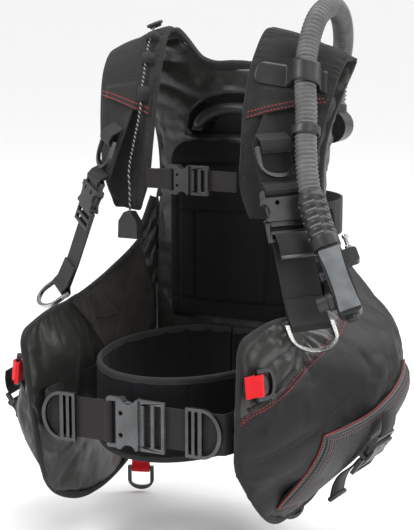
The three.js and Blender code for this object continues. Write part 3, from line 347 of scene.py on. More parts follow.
class Shader:
    """A material whose nodes are added one line at a time."""

    def __init__(self, name, colour, roughness, metallic=0.0, **sockets):
        self.material = bpy.data.materials.new(name)
        self.material.use_nodes = True
        self.nodes = self.material.node_tree.nodes
        self.links = self.material.node_tree.links
        self.bsdf = self.nodes["Principled BSDF"]
        self.bsdf.inputs["Base Color"].default_value = (*colour, 1)
        self.bsdf.inputs["Roughness"].default_value = roughness
        self.bsdf.inputs["Metallic"].default_value = metallic
        for socket, value in sockets.items():
            self.bsdf.inputs[socket.replace("_", " ")].default_value = value
        self.colour = colour
        self.where = self.add("ShaderNodeTexCoord")
        self.height = None

    def add(self, kind, **values):
        node = self.nodes.new(kind)
        for key, value in values.items():
            if key in node.inputs:
                node.inputs[key].default_value = value
            else:
                setattr(node, key, value)
        return node

    def mapped(self, space, scale=(1, 1, 1)):
        mapping = self.add("ShaderNodeMapping")
        mapping.inputs["Scale"].default_value = scale
        self.links.new(self.where.outputs[space], mapping.inputs["Vector"])
        return mapping.outputs["Vector"]

    def noise(self, scale, detail=3.0, space="Object", stretch=(1, 1, 1)):
        node = self.add("ShaderNodeTexNoise", Scale=scale, Detail=detail)
        self.links.new(self.mapped(space, stretch), node.inputs["Vector"])
        return node.outputs["Fac"]

    def ribs(self, scale, direction, space="Object", distortion=0.0):
        node = self.add("ShaderNodeTexWave", bands_direction=direction, Scale=scale, Distortion=distortion)
        self.links.new(self.mapped(space), node.inputs["Vector"])
        return node.outputs["Fac"]

    def maths(self, operation, a, b):
        node = self.add("ShaderNodeMath", operation=operation)
        for socket, value in zip(node.inputs, (a, b)):
            if isinstance(value, (int, float)):
                socket.default_value = value
            else:
                self.links.new(value, socket)
        return node.outputs[0]

    def ramp(self, fac, low, high, a=0.35, b=0.65):
        node = self.add("ShaderNodeValToRGB")
        elements = node.color_ramp.elements
        elements[0].position, elements[1].position = a, b
        elements[0].color, elements[1].color = (*low, 1), (*high, 1)
        self.links.new(fac, node.inputs["Fac"])
        return node.outputs["Color"]

    def vary_colour(self, fac, spread):
        """The base colour runs from darker to lighter by that share."""
        low = tuple(c * (1 - spread) for c in self.colour)
        high = tuple(min(1.0, c * (1 + spread)) for c in self.colour)
        self.links.new(self.ramp(fac, low, high), self.bsdf.inputs["Base Color"])

    def vary_roughness(self, fac, low, high):
        node = self.add("ShaderNodeMapRange")
        node.inputs["To Min"].default_value, node.inputs["To Max"].default_value = low, high
        self.links.new(fac, node.inputs["Value"])
        self.links.new(node.outputs["Result"], self.bsdf.inputs["Roughness"])

    def bump(self, fac, depth):
        """One more layer of relief, depth in metres."""
        node = self.add("ShaderNodeBump", Strength=1.0, Distance=depth)
        self.links.new(fac, node.inputs["Height"])
        if self.height is not None:
            self.links.new(self.height, node.inputs["Normal"])
        self.height = node.outputs["Normal"]
        self.links.new(self.height, self.bsdf.inputs["Normal"])


def woven(name, colour, roughness, pitch, depth, space="Object", sheen=0.2, spread=0.25, crease=0.0,
          shine=0.14, mottle=1.0):
    """Cloth whose threads cross every pitch metres."""
    s = Shader(name, colour, roughness, Sheen_Weight=sheen, Sheen_Roughness=0.5, Specular_IOR_Level=shine)
    scale = 0.314 / pitch
    warp = s.ribs(scale, "DIAGONAL" if space == "Object" else "X", space)
    weft = s.ribs(scale, "Z" if space == "Object" else "Y", space)
    weave = s.maths("MULTIPLY", warp, weft)
    s.vary_colour(s.maths("ADD", weave, s.maths("MULTIPLY", s.noise(60.0, 4.0), mottle)), spread)
    s.vary_roughness(s.noise(25.0), roughness - 0.06, roughness + 0.08)
    if crease:
        s.bump(s.noise(38.0, 3.0), crease)
    s.bump(weave, depth)
    return s.material


def webbing_material(name, colour, direction="Z"):
    """Webbing: fine ribs across it, broken up by noise."""
    s = Shader(name, colour, 0.7, Sheen_Weight=0.05, Sheen_Roughness=0.5, Specular_IOR_Level=0.2)
    ribs = s.ribs(0.314 / 0.0014, direction)
    mottle = s.maths("MULTIPLY", s.noise(900.0, 2.0), 0.5)
    s.vary_colour(s.maths("ADD", s.maths("MULTIPLY", ribs, 0.6), mottle), 0.3)
    s.vary_roughness(s.noise(60.0), 0.62, 0.8)
    s.bump(ribs, 0.00022)
    s.bump(s.noise(1400.0, 2.0), 0.0002)
    return s.material


def plastic(name, colour, roughness=0.42):
    """Moulded nylon with a fine spark-eroded grain."""
    s = Shader(name, colour, roughness, Specular_IOR_Level=0.5)
    s.vary_colour(s.noise(45.0, 5.0), 0.25)
    s.vary_roughness(s.noise(120.0, 4.0), roughness - 0.08, roughness + 0.1)
    s.bump(s.noise(2200.0, 2.0), 0.00012)
    return s.material


def metal(name, colour, roughness):
    s = Shader(name, colour, roughness, metallic=1.0)
    s.vary_roughness(s.noise(160.0, 4.0), roughness - 0.07, roughness + 0.12)
    s.vary_colour(s.noise(40.0, 3.0), 0.15)
    s.bump(s.noise(700.0, 3.0, stretch=(1, 1, 8)), 0.00006)
    return s.material


def rubber(name, colour, roughness=0.6):
    s = Shader(name, colour, roughness, Specular_IOR_Level=0.4)
    s.vary_colour(s.noise(50.0, 4.0), 0.2)
    s.vary_roughness(s.noise(90.0), roughness - 0.1, roughness + 0.08)
    s.bump(s.noise(900.0, 3.0), 0.00015)
    return s.material


def thread(name, colour):
    s = Shader(name, colour, 0.6, Sheen_Weight=0.2)
    s.vary_colour(s.noise(600.0), 0.3)
    return s.material


def braid(name):
    """Cord of dark and light strands wound round each other."""
    s = Shader(name, (0.25, 0.24, 0.22), 0.75)
    twist = s.ribs(0.314 / 0.0035, "DIAGONAL", distortion=0.4)
    colours = s.ramp(twist, (0.012, 0.012, 0.012), (0.3, 0.29, 0.27), 0.72, 0.86)
    s.links.new(colours, s.bsdf.inputs["Base Color"])
    s.bump(twist, 0.0006)
    return s.material


NYLON = woven("shell_nylon", (0.0045, 0.0045, 0.0052), 0.5, 0.0012, 0.00008, sheen=0.02, crease=0.0012,
              shine=0.26)
SATIN = woven("lining_satin", (0.0125, 0.012, 0.0108), 0.36, 0.0012, 0.00006, sheen=0.04, crease=0.0016,
              shine=0.42)
CORDURA = woven("strap_cordura", (0.017, 0.0162, 0.0158), 0.8, 0.0016, 0.0004, sheen=0.06, crease=0.0006)
PANEL = woven("panel_fabric", (0.024, 0.0212, 0.0185), 0.85, 0.0014, 0.0002, sheen=0.06, crease=0.001)
LINING = woven("pad_lining", (0.0036, 0.0036, 0.0046), 0.85, 0.0018, 0.0003, sheen=0.03, crease=0.0008)
TAPE = woven("binding_tape", (0.0165, 0.0165, 0.016), 0.75, 0.0016, 0.0004, sheen=0.05)
GREY_WEAVE = woven("pocket_weave", (0.07, 0.071, 0.072), 0.6, 0.0024, 0.0005, space="UV", spread=0.85,
                   sheen=0.04, shine=0.3, mottle=0.1)
WEBBING = webbing_material("black_webbing", (0.0145, 0.0135, 0.013))
WEBBING_FLAT = webbing_material("belt_webbing", (0.0145, 0.013, 0.0125), direction="X")
RED_WEBBING = webbing_material("red_webbing_tape", (0.56, 0.008, 0.014))
PLASTIC = plastic("black_nylon_plastic", (0.0125, 0.0125, 0.013))
GLOSSY_PLASTIC = plastic("waist_buckle_plastic", (0.05, 0.052, 0.054), 0.27)
COVER = plastic("grey_cover_plastic", (0.1, 0.107, 0.111), 0.4)
STEEL = metal("stainless_steel", (0.42, 0.42, 0.41), 0.24)
BLACK_STEEL = metal("blackened_steel", (0.075, 0.075, 0.078), 0.36)
HOSE_RUBBER = rubber("hose_rubber", (0.085, 0.087, 0.085), 0.5)
DARK_RUBBER = rubber("dark_rubber", (0.012, 0.012, 0.0125), 0.45)
RED_THREAD = thread("red_thread", (0.3, 0.01, 0.012))
GREY_THREAD = thread("grey_thread", (0.035, 0.035, 0.035))
RED_PIPING = rubber("red_piping", (0.16, 0.01, 0.01), 0.5)
BRAID = braid("pull_cord_braid")

# ---------------------------------------------------------------- camera


def make_camera():
    """The photograph's viewpoint: 25 degrees to the wearer's left and 11 above, 1.8 m away."""
    azimuth, elevation, distance = math.radians(25), math.radians(11), 1.8
    target = Vector(row((0, 0, 300)))
    back = Vector((math.sin(azimuth) * math.cos(elevation), -math.cos(azimuth) * math.cos(elevation),
                   math.sin(elevation)))
    camera = bpy.data.objects.new("camera", bpy.data.cameras.new("camera"))
    bpy.context.scene.collection.objects.link(camera)
    camera.location = target + back * distance
    camera.rotation_euler = back.to_track_quat("Z", "Y").to_euler()
    camera.data.sensor_fit = "VERTICAL"
    camera.data.sensor_height = 36
    camera.data.lens = 94.8
    bpy.context.scene.camera = camera


make_camera()

# ---------------------------------------------------------------- shoulder straps as surfaces

strap_centre = spline(STRAP_CENTRE)
strap_half = spline(STRAP_HALF)


def strap_point(s, c, lift):
    """Points on the left shoulder strap: s down its length, c from -1 at the neck to 1 at the arm."""
    s, c, lift = (np.atleast_1d(np.asarray(a, float)) for a in (s, c, lift))
    half = strap_half(s)
    ahead = strap_centre(np.minimum(s + 0.01, 1)) - strap_centre(np.maximum(s - 0.01, 0))
    out = -unit(np.cross(half, ahead))
    return strap_centre(s) + half * c[:, None] + out * lift[:, None]


# ---------------------------------------------------------------- cords


def make_hose():
    """The corrugated inflator hose, from the shoulder elbow over the shoulder to the inflator."""
    line, along = even(spline(HOSE_PATH)(np.linspace(0, 1, 600)), 0.9)
    wave = np.cos(2 * math.pi * along / HOSE["pitch"])
    radii = HOSE["radius"] - HOSE["groove"] * (0.5 - 0.5 * np.sign(wave) * np.abs(wave) ** 0.5)
    hose = tube("corrugated_hose_body", line, radii, HOSE_RUBBER, 28)
    on_vest(hose)
    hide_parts("corrugated_hose")
    return line


def make_pull_cord():
    """The dump valve's cord: along the right strap under its sleeves, then straight down to the knob."""
    s = np.array([0.17, 0.24, 0.31, 0.38, 0.46, 0.53, 0.61])
    on_strap = mirrored(strap_point(s, np.full(7, CORD_ACROSS), np.full(7, STRAP_THICK / 2 + CORD_HEIGHT)))
    hang = [(*CORD_HANG, 430), (*CORD_HANG, 400), (*CORD_HANG, KNOB_TOP - 17)]
    line, along = even(spline(np.vstack([on_strap, hang]))(np.linspace(0, 1, 400)), 1.2)
    twist = 2 * math.pi * along / 9
    tangents, sides, ups = side_frames(line, (0.9, 0.2, 0.1))
    strands = []
    for phase in (0, math.pi):
        offset = 0.5 * (np.cos(twist + phase)[:, None] * sides + np.sin(twist + phase)[:, None] * ups)
        strands.append(tube("cord_strand", line + offset, np.full(len(line), 1.05), BRAID, 8))
    bpy.ops.object.select_all(action="DESELECT")
    for strand in strands:
        strand.select_set(True)
    bpy.context.view_layer.objects.active = strands[0]
    bpy.ops.object.join()
    cord = strands[0]
    cord.name = "pull_cord_braided"
    on_vest(cord)
    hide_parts("pull_cord")


hose_line = make_hose()
make_pull_cord()

# ---------------------------------------------------------------- cloth


def puff(obj, pinned, pressure, cap, slack=0.03, frames=16):
    """Swells a piece with cloth simulation. pinned holds the vertices that stay, cap is in metres."""
    rest = np.array([v.co for v in obj.data.vertices])
    group = obj.vertex_groups.new(name="pinned")
    group.add([int(i) for i in pinned], 1.0, "REPLACE")
    cloth = obj.modifiers.new("cloth", "CLOTH")
    s = cloth.settings
    s.quality = 4
    s.mass = 0.25
    s.tension_stiffness = s.compression_stiffness = 12
    s.bending_stiffness = 0.35
    s.shrink_min = -slack
    s.vertex_group_mass = "pinned"
    s.use_pressure = True
    s.uniform_pressure_force = pressure
    s.effector_weights.gravity = 0
    cloth.collision_settings.use_collision = False
    cloth.point_cache.frame_start, cloth.point_cache.frame_end = 1, frames
    scene = bpy.context.scene
    for k in range(1, frames + 1):
        scene.frame_set(k)
    shaped = obj.evaluated_get(bpy.context.evaluated_depsgraph_get())
    moved = np.array([v.co for v in shaped.data.vertices]) - rest
    obj.modifiers.remove(cloth)
    scene.frame_set(1)
    size = np.linalg.norm(moved, axis=1, keepdims=True)
    moved *= cap * np.tanh(size / cap) / np.maximum(size, 1e-9)
    obj.data.vertices.foreach_set("co", (rest + moved).ravel())
    obj.data.update()
    obj.vertex_groups.clear()


def displace(obj, amount):
    """Moves each vertex along its normal, by an amount in metres for each."""
    co = np.empty(len(obj.data.vertices) * 3)
    normal = np.empty(len(obj.data.vertices) * 3)
    obj.data.vertices.foreach_get("co", co)
    obj.data.vertex_normals.foreach_get("vector", normal)
    moved = co.reshape(-1, 3) + normal.reshape(-1, 3) * np.asarray(amount)[:, None]
    obj.data.vertices.foreach_set("co", moved.ravel())
    obj.data.update()


def binding(name, edge, inward, normals, half, width=BINDING):
    """Binding tape folded over a panel's edge. half is half the panel's thickness, in millimetres."""
    w, h, t = width, half, 1.1
    profile = [(w, h + 0.1), (w - 0.6, h + t), (0.5, h + t), (-t * 0.8, h * 0.6), (-t * 1.2, 0),
               (-t * 0.8, -h * 0.6), (0.5, -h - t), (w - 0.6, -h - t), (w, -h - 0.1), (0.4, -h - 0.1),
               (-0.1, 0), (0.4, h + 0.1)]
    return sweep(name, edge, profile, inward, normals, TAPE)


def binding_seam(name, edge, inward, normals, half, width=BINDING):
    """The binding's row of stitches, on its outer face."""
    line = np.asarray(edge) + np.asarray(inward) * (width - 2.2) + np.asarray(normals) * (half + 1.2)
    return stitches(name, line, normals, GREY_THREAD, (2.6, 0.7, 0.35), 1.6)


# ---------------------------------------------------------------- lobes

lobe_top, lobe_bottom = spline(LOBE_TOP), spline(LOBE_BOTTOM)
lobe_outward, lobe_inward = spline(LOBE_OUTWARD), spline(LOBE_INWARD)


def lobe_skin(u, v, outside, sag, lift=0.0):
    """Points of the left lobe's skin: u from its front edge to the back seam, v from top to bottom."""
    u, v = np.broadcast_arrays(np.atleast_1d(np.asarray(u, float)), np.asarray(v, float))
    top, bottom = lobe_top(u), lobe_bottom(u)
    p = top + (bottom - top) * v[:, None]
    fullest = FULLEST[0] + (FULLEST[1] - FULLEST[0]) * smooth(u, 0.2, 0.55)
    swell = np.maximum(np.sin(math.pi * np.clip(v, 1e-9, 1) ** (math.log(0.5) / np.log(fullest))), 0) ** 1.4
    p = p + (lobe_outward if outside else lobe_inward)(u) * swell[:, None]
    ahead = lobe_top(np.minimum(u + 0.01, 1)) - lobe_top(np.maximum(u - 0.01, 0))
    normal = unit(np.stack([ahead[:, 1], -ahead[:, 0], np.zeros(len(u))], axis=1))
    normal = np.where((u > 0.999)[:, None], (0.0, 1.0, 0.0), normal)
    p = p + normal * ((EDGE / 2 if outside else -EDGE / 2) + np.asarray(lift))[..., None]
    p[:, 2] -= sag * (1 - u) ** 1.5
    return p


def sided(points, side):
    return points if side == "left" else mirrored(points)


def lobe_out(u, v, sag):
    """The outer skin's unit normals."""
    p = lobe_skin(u, v, True, sag)
    round_ = lobe_skin(np.minimum(np.asarray(u) + 0.01, 1), v, True, sag) - p
    down = lobe_skin(u, np.asarray(v) + 0.01, True, sag) - p
    return -unit(np.cross(round_, down))


def front_edge(v):
    """The smallest u at v, with the front corners rounded off."""
    (top_u, top_v), (low_u, low_v) = FRONT_ROUND
    top = top_u * (1 - np.sqrt(1 - np.clip((top_v - v) / top_v, 0, 1) ** 2))
    low = low_u * (1 - np.sqrt(1 - np.clip((v - 1 + low_v) / low_v, 0, 1) ** 2))
    return top + low


def lobe_outline(count=90):
    """(u, v) round the lobe's free edge: along the top to the front, down it, and back along the bottom."""
    (top_u, top_v), (low_u, low_v) = FRONT_ROUND
    back = 0.985
    turn = np.linspace(0, math.pi / 2, 12)[1:-1]
    parts = [
        np.stack([np.linspace(back, top_u, count), np.zeros(count)], axis=1),
        np.stack([top_u * (1 - np.sin(turn)), top_v * (1 - np.cos(turn))], axis=1),
        np.stack([np.zeros(30), np.linspace(top_v, 1 - low_v, 30)], axis=1),
        np.stack([low_u * (1 - np.cos(turn)), 1 - low_v * (1 - np.sin(turn))], axis=1),
        np.stack([np.linspace(low_u, back, count), np.ones(count)], axis=1),
    ]
    return np.vstack(parts)


def edge_distance(u, v):
    """Roughly how far, in millimetres, a point is from the lobe's free edge."""
    return np.minimum.reduce([(u - front_edge(v)) * 430, v * 260, (1 - v) * 260])


def distance_to(points, line):
    """The distance from each point to a dense line."""
    line = np.asarray(line)
    return np.min(np.linalg.norm(points[:, None, :] - line[None, :, :], axis=2), axis=1)


def seam_height(seam, u):
    """How far down the lobe a seam runs at u."""
    return seam["front"] * (1 - np.clip(u / seam["end"], 0, 1) ** seam["bend"])


def seam_uv(seam, start, end, below=0.0, count=160):
    u = start + (end - start) * np.linspace(0, 1, count) ** 1.5
    return np.stack([u, seam_height(seam, u) + below], axis=1)


def seam_on_lobe(seam, start, end, sag):
    uv = seam_uv(seam, start, end, count=80)
    return lobe_skin(uv[:, 0], uv[:, 1], True, sag)


def satin_share(u, v):
    """1 on the satin part of the outer skin, in front of the red seam, else 0."""
    return (v < seam_height(RED_SEAM, u)).astype(float)


def lobe_folds(points, u, v, outside, side, sag):
    """How far the lobe's fabric stands in or out of its smooth shape, in metres."""
    edge = edge_distance(u, v)
    along = np.where(np.minimum(v, 1 - v) < u, u * 480, v * 270)
    pucker = np.sin(along / 9.0 + 3 * np.sin(along / 31.0)) * np.exp(-edge / 14.0)
    body = 1 - np.exp(-edge / 18.0)
    wide = crumple(points, 0.085, (1.6, 1.0, 0.8), 3.0 if outside else 9.0)
    fine = crumple(points, 0.036, (1.0, 1.2, 0.9), 5.0)
    folds = 0.0008 * pucker - (0.0028 * wide + 0.001 * fine) * body
    if outside:
        satin = satin_share(u, v)
        reach = np.hypot((u - 0.3) * 430, (v - 0.06) * 260)
        angle = np.arctan2((v - 0.06) * 260, (u - 0.3) * 430)
        rays = (0.5 + 0.5 * np.sin(angle * 15 + 1.5 * np.sin(reach / 17))) ** 2
        swell = 0.005 * np.exp(-(((u - 0.14) / 0.11) ** 2))
        folds += satin * (swell - 0.0045 * rays * smooth(reach, 6, 30)) * body
        flat = lobe_skin(u, v, True, sag)
        folds -= 0.0022 * np.exp(-((distance_to(flat, seam_on_lobe(RED_SEAM, 0.004, 0.6, sag)) / 5.0) ** 2))
        folds -= 0.0014 * np.exp(-((distance_to(flat, seam_on_lobe(LOWER_SEAM, 0.03, 0.4, sag)) / 4.0) ** 2))
        return folds
    bulge = np.exp(-(((u - 0.2) / 0.16) ** 2) - ((v - 0.24) / 0.2) ** 2)
    under_bulge = np.exp(-(((v - 0.5 - 0.25 * (u - 0.2)) / 0.03) ** 2)) * np.exp(-(((u - 0.2) / 0.2) ** 2))
    beside = np.exp(-(((u - 0.42) / 0.02) ** 2)) * smooth(v, 0.05, 0.2) * (1 - smooth(v, 0.4, 0.6))
    strength = 0.017 if side == "right" else 0.008
    return folds + body * strength * (bulge - 0.4 * under_bulge - 0.3 * beside)


def make_lobe(side):
    sag = SAG[side]
    nu, nv = 120, 68
    a, v = mesh_of((0, 1), (0, 1), nu, nv)
    front = front_edge(v)
    u = front + (1 - front) * a
    thin = (LOBE_EDGE - EDGE / 2) * (1 - smooth(edge_distance(u, v), 0, 16)) * (1 - smooth(u, 0.93, 1))
    shape = (nu + 1, nv + 1, 3)
    outer = sided(lobe_skin(u, v, True, sag, thin), side).reshape(shape)
    inner = sided(lobe_skin(u, v, False, sag, -thin), side).reshape(shape)
    lobe = slab("lobe_" + side + "_shell", outer, inner, NYLON, (0.48, 0.27))
    lobe.data.materials.append(SATIN)
    edge = (a < 0.001) | (a > 0.999) | (v < 0.001) | (v > 0.999)
    half = len(u)
    pinned = np.concatenate([np.flatnonzero(edge), np.flatnonzero(edge) + half])
    puff(lobe, pinned, 2.0, 0.006)
    rest = np.array([p.co for p in lobe.data.vertices])
    folds = np.concatenate([lobe_folds(rest[:half], u, v, True, side, sag),
                            lobe_folds(rest[half:], u, v, False, side, sag)])
    below_pocket = np.concatenate([pocket_cover(u, v), np.zeros(half)])
    displace(lobe, folds * (1 - below_pocket) - 0.002 * below_pocket)
    satin = np.concatenate([satin_share(u, v), np.ones(half)])
    for face in lobe.data.polygons:
        face.material_index = int(all(satin[k] > 0.5 for k in face.vertices))
    on_vest(lobe)
    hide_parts("lobe_" + side)
    lobe_trim(side, sag, skin_of(lobe))
    return lobe


def lobe_binding(side, sag):
    """Binding tape and its stitches round the lobe's free edge."""
    uv = lobe_outline()
    outer, inner = lobe_skin(uv[:, 0], uv[:, 1], True, sag), lobe_skin(uv[:, 0], uv[:, 1], False, sag)
    edge, _ = even((outer + inner) / 2, 3.0)
    across, _ = even(outer, 1.0)
    nearest = np.argmin(np.linalg.norm(edge[:, None, :] - across[None, :, :], axis=2), axis=1)
    tangents = unit(np.gradient(edge, axis=0))
    hint = across[nearest] - edge
    normals = unit(hint - tangents * np.sum(hint * tangents, axis=1, keepdims=True))
    inward = np.cross(normals, tangents)
    inward *= np.sign(np.sum(inward * (edge.mean(axis=0) - edge), axis=1, keepdims=True))
    middle = unit(edge.mean(axis=0) - edge)
    inward = np.where(np.sum(inward * middle, axis=1, keepdims=True) < 0, -inward, inward)
    edge, inward, normals = (sided(x, side) for x in (edge, inward, normals))
    on_vest(binding("lobe_binding_" + side, edge, inward, normals, LOBE_EDGE + 0.5, width=8.5))
    seam = binding_seam("lobe_binding_seam_" + side, edge, inward, normals, LOBE_EDGE + 1.2, width=8.5)
    on_vest(seam)


def seam_along(name, uv, side, sag, tree, material, size):
    """A row of stitches over the lobe's outer skin along (u, v) points."""
    line = sided(lobe_skin(uv[:, 0], uv[:, 1], True, sag), side)
    guide = sided(lobe_out(uv[:, 0], uv[:, 1], sag), side)
    line, normals = laid_on(tree, line, 0.5, guide)
    return on_vest(stitches(name, line, normals, material, size, 1.2))


def lobe_trim(side, sag, tree):
    lobe_binding(side, sag)
    for k in (0, 1):
        uv = seam_uv(RED_SEAM, 0.004, 0.6, 0.02 * k)
        name = "red_seam_%d_%s" % (k, side)
        seam_along(name, uv, side, sag, tree, RED_THREAD, (3.2, 1.1, 0.6))
    lower = seam_uv(LOWER_SEAM, 0.03, 0.4)
    seam_along("lower_seam_" + side, lower, side, sag, tree, GREY_THREAD, (2.6, 0.7, 0.3))
    make_zip(side, sag, tree)
    if side == "right":
        make_panels(side, sag, tree)


def make_zip(side, sag, tree):
    """The zip just above the red seam, with its slider and pull."""
    uv = seam_uv(RED_SEAM, 0.03, 0.23, -ZIP_ABOVE_SEAM, 90)
    line = sided(lobe_skin(uv[:, 0], uv[:, 1], True, sag), side)
    guide = sided(lobe_out(uv[:, 0], uv[:, 1], sag), side)
    line, normals = laid_on(tree, line, 0.4, guide)
    across = unit(np.cross(normals, unit(np.gradient(line, axis=0))))
    section = [(-4.5, -0.4), (-4.5, 0.6), (4.5, 0.6), (4.5, -0.4)]
    tape = sweep("zip_tape_" + side, line, section, across, normals, CORDURA)
    on_vest(tape)
    coil = stitches("zip_teeth_" + side, line + normals * 0.8, normals, PLASTIC, (1.2, 3.2, 0.9), 0.6)
    on_vest(coil)
    at = 46
    along = unit(line[at + 1] - line[at])
    slider = [line[at] + normals[at] * 1.8 + along * d for d in (-4, -3, 3, 4)]
    on_vest(tube("zip_slider_" + side, slider, [2.2, 3.0, 3.0, 2.2], PLASTIC, 10))
    pull = [line[at] + normals[at] * (3.4 - 0.05 * d) + along * d for d in (3, 6, 10, 14, 18, 19)]
    on_vest(tube("zip_pull_" + side, pull, [0.9, 0.9, 1.6, 2.0, 2.0, 1.2], DARK_RUBBER, 10))


def make_panels(side, sag, tree):
    """The two matte panels sewn inside the right lobe's shoulder."""
    outlines = [
        ("armhole_panel", ((0.36, 0.012), (0.84, 0.012), (0.93, 0.52), (0.54, 0.36)), 1.4),
        ("armhole_flap", ((0.33, 0.012), (0.52, 0.012), (0.63, 0.21), (0.45, 0.17)), 3.0),
    ]
    for name, corners, lift in outlines:
        n = 30
        a, b = mesh_of((0, 1), (0, 1), n, n)
        p, q, r, t = (np.array(c) for c in corners)
        top = p + (q - p) * a[:, None]
        low = t + (r - t) * a[:, None]
        uv = top + (low - top) * b[:, None]
        skin = sided(lobe_skin(uv[:, 0], uv[:, 1], False, sag), side)
        guide = -sided(lobe_out(uv[:, 0], uv[:, 1], sag), side)
        face, normals = laid_on(tree, skin, 0.0, guide)
        face = soften(face.reshape(n + 1, n + 1, 3), 3)
        normals = normals.reshape(n + 1, n + 1, 3)
        panel = slab(name, face + normals * lift, face - normals * 0.8, PANEL, (0.2, 0.12))
        on_vest(panel)
        rim = np.vstack([face[:, 0], face[-1, :], face[::-1, -1], face[::-1, 0][:n // 2]])
        rim_normals = np.vstack([normals[:, 0], normals[-1, :], normals[::-1, -1], normals[::-1, 0][:n // 2]])
        inward = face.mean(axis=(0, 1)) - rim
        line = rim + rim_normals * (lift + 0.2) + unit(inward) * 3.5
        on_vest(stitches(name + "_seam", line, rim_normals, GREY_THREAD, (2.6, 0.7, 0.4), 1.6))


def soften(grid, rounds):
    """A grid of points smoothed along both ways, its rim kept."""
    for _ in range(rounds):
        inner = grid[1:-1, 1:-1]
        grid = grid.copy()
        beside = grid[:-2, 1:-1] + grid[2:, 1:-1] + grid[1:-1, :-2] + grid[1:-1, 2:]
        grid[1:-1, 1:-1] = (inner * 2 + beside) / 6
    return grid


def pocket_cover(u, v):
    """1 where the pocket lies on the lobe's outer skin, else 0."""
    corners = np.array(POCKET_CORNERS)
    inside = np.ones(len(u))
    for a, b in zip(corners, np.roll(corners, -1, axis=0)):
        d = b - a
        cross = d[0] * (v - a[1]) - d[1] * (u - a[0])
        inside *= smooth(cross / np.linalg.norm(d), -0.01, 0.03)
    return inside


def pocket_point(a, b, sag, raised):
    """Points of a pocket: a from front to back, b from top to bottom."""
    front_top, back_top, back_bottom, front_bottom = (np.array(c) for c in POCKET_CORNERS)
    a, b = np.asarray(a, float), np.asarray(b, float)
    top = front_top + (back_top - front_top) * a[:, None]
    bottom = front_bottom + (back_bottom - front_bottom) * a[:, None]
    uv = top + (bottom - top) * b[:, None]
    puffed = np.clip((1 - (2 * b - 1) ** 6) * (1 - (2 * a - 1) ** 8), 0, 1) ** 0.5
    lift = 3.2 + (POCKET_LIFT - 3.6) * puffed if raised else np.full(len(a), -1.5)
    return lobe_skin(uv[:, 0], uv[:, 1], True, sag, lift), uv


def make_pocket(side):
    sag = SAG[side]
    n = 48
    a, b = mesh_of((0, 1), (0, 1), n, n)
    outer, _ = pocket_point(a, b, sag, True)
    inner, _ = pocket_point(a, b, sag, False)
    shape = (n + 1, n + 1, 3)
    outer, inner = (sided(skin, side).reshape(shape) for skin in (outer, inner))
    pocket = slab("pocket_" + side + "_cloth", outer, inner, GREY_WEAVE, (0.16, 0.12))
    half = len(a)
    rest = np.array([p.co for p in pocket.data.vertices])
    folds = np.zeros(2 * half)
    middle = np.clip(np.minimum.reduce([a, 1 - a, b, 1 - b]) * 6, 0, 1)
    folds[:half] = -0.0028 * crumple(rest[:half], 0.05, (1, 1, 1), 2.0) * middle
    displace(pocket, folds)
    on_vest(pocket)
    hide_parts("pocket_" + side)
    pocket_trim(side, sag)
    pocket_strap(side, sag)
    return pocket


def pocket_trim(side, sag):
    """Red piping round the pocket and a row of stitches inside it."""
    run = np.linspace(0, 1, 50)
    loops = [(run, np.zeros(50)), (np.ones(50), run), (run[::-1], np.ones(50)), (np.zeros(50), run[::-1])]
    a = np.concatenate([p[:-1] for p, _ in loops] + [[0.0]])
    b = np.concatenate([q[:-1] for _, q in loops] + [[0.0]])
    edge, uv = pocket_point(a, b, sag, True)
    normals = lobe_out(uv[:, 0], uv[:, 1], sag)
    line = sided(edge + normals * 0.3, side)
    on_vest(tube("pocket_piping_" + side, line, np.full(len(a), 1.0), RED_PIPING, 8))
    inset_a, inset_b = 0.045 + 0.91 * a, 0.06 + 0.88 * b
    line, uv = pocket_point(inset_a, inset_b, sag, True)
    normals = lobe_out(uv[:, 0], uv[:, 1], sag)
    line, normals = sided(line + normals * 0.3, side), sided(normals, side)
    seam = stitches("pocket_seam_" + side, line, normals, RED_THREAD, (2.6, 0.7, 0.4), 1.8)
    on_vest(seam)


def pocket_strap(side, sag):
    """The pocket strap: webbing sewn on above the buckle, and its loose end below with a pull tab."""
    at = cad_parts["pocket_buckle_female_" + side]
    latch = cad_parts["pocket_buckle_male_" + side]
    top, low = (torso(np.mean([v.co for v in n.data.vertices], axis=0)) for n in (at, latch))
    down = unit(low - top)
    guide = sided(lobe_out(np.array([0.47]), np.array([0.59]), sag), side)[0]
    out = unit(guide - down * guide.dot(down))
    across = np.cross(down, out)
    upper = [top + down * d + out * h
             for d, h in ((-14, -1), (-20, -1.5), (-26, -3.5), (-34, -8), (-42, -15))]
    lower = [low + down * d + out * h
             for d, h in ((4, -4.5), (14, -5), (24, -7), (34, -10), (44, -11), (56, -9), (66, -5), (72, -2))]
    for name, line in (("pocket_strap_", upper), ("pocket_tail_", lower)):
        line, _ = even(spline(np.array(line))(np.linspace(0, 1, 60)), 2)
        ups = unit(np.cross(unit(np.gradient(line, axis=0)), across)) * (-1 if name == "pocket_tail_" else 1)
        half = 18
        band = sweep(name + side, line, [(-half, -0.9), (-half, 0.9), (half, 0.9), (half, -0.9)],
                     np.tile(across, (len(line), 1)), ups, WEBBING)
        on_vest(band)
    tab = [np.array(lower[-1]) + across * d + out * 1.0 for d in (-21, -20, 20, 21)]
    on_vest(tube("pocket_pull_tab_" + side, tab, [2.2, 3.2, 3.2, 2.2], DARK_RUBBER, 12))


for side in ("left", "right"):
    make_lobe(side)
    make_pocket(side)

# ---------------------------------------------------------------- shoulder pads


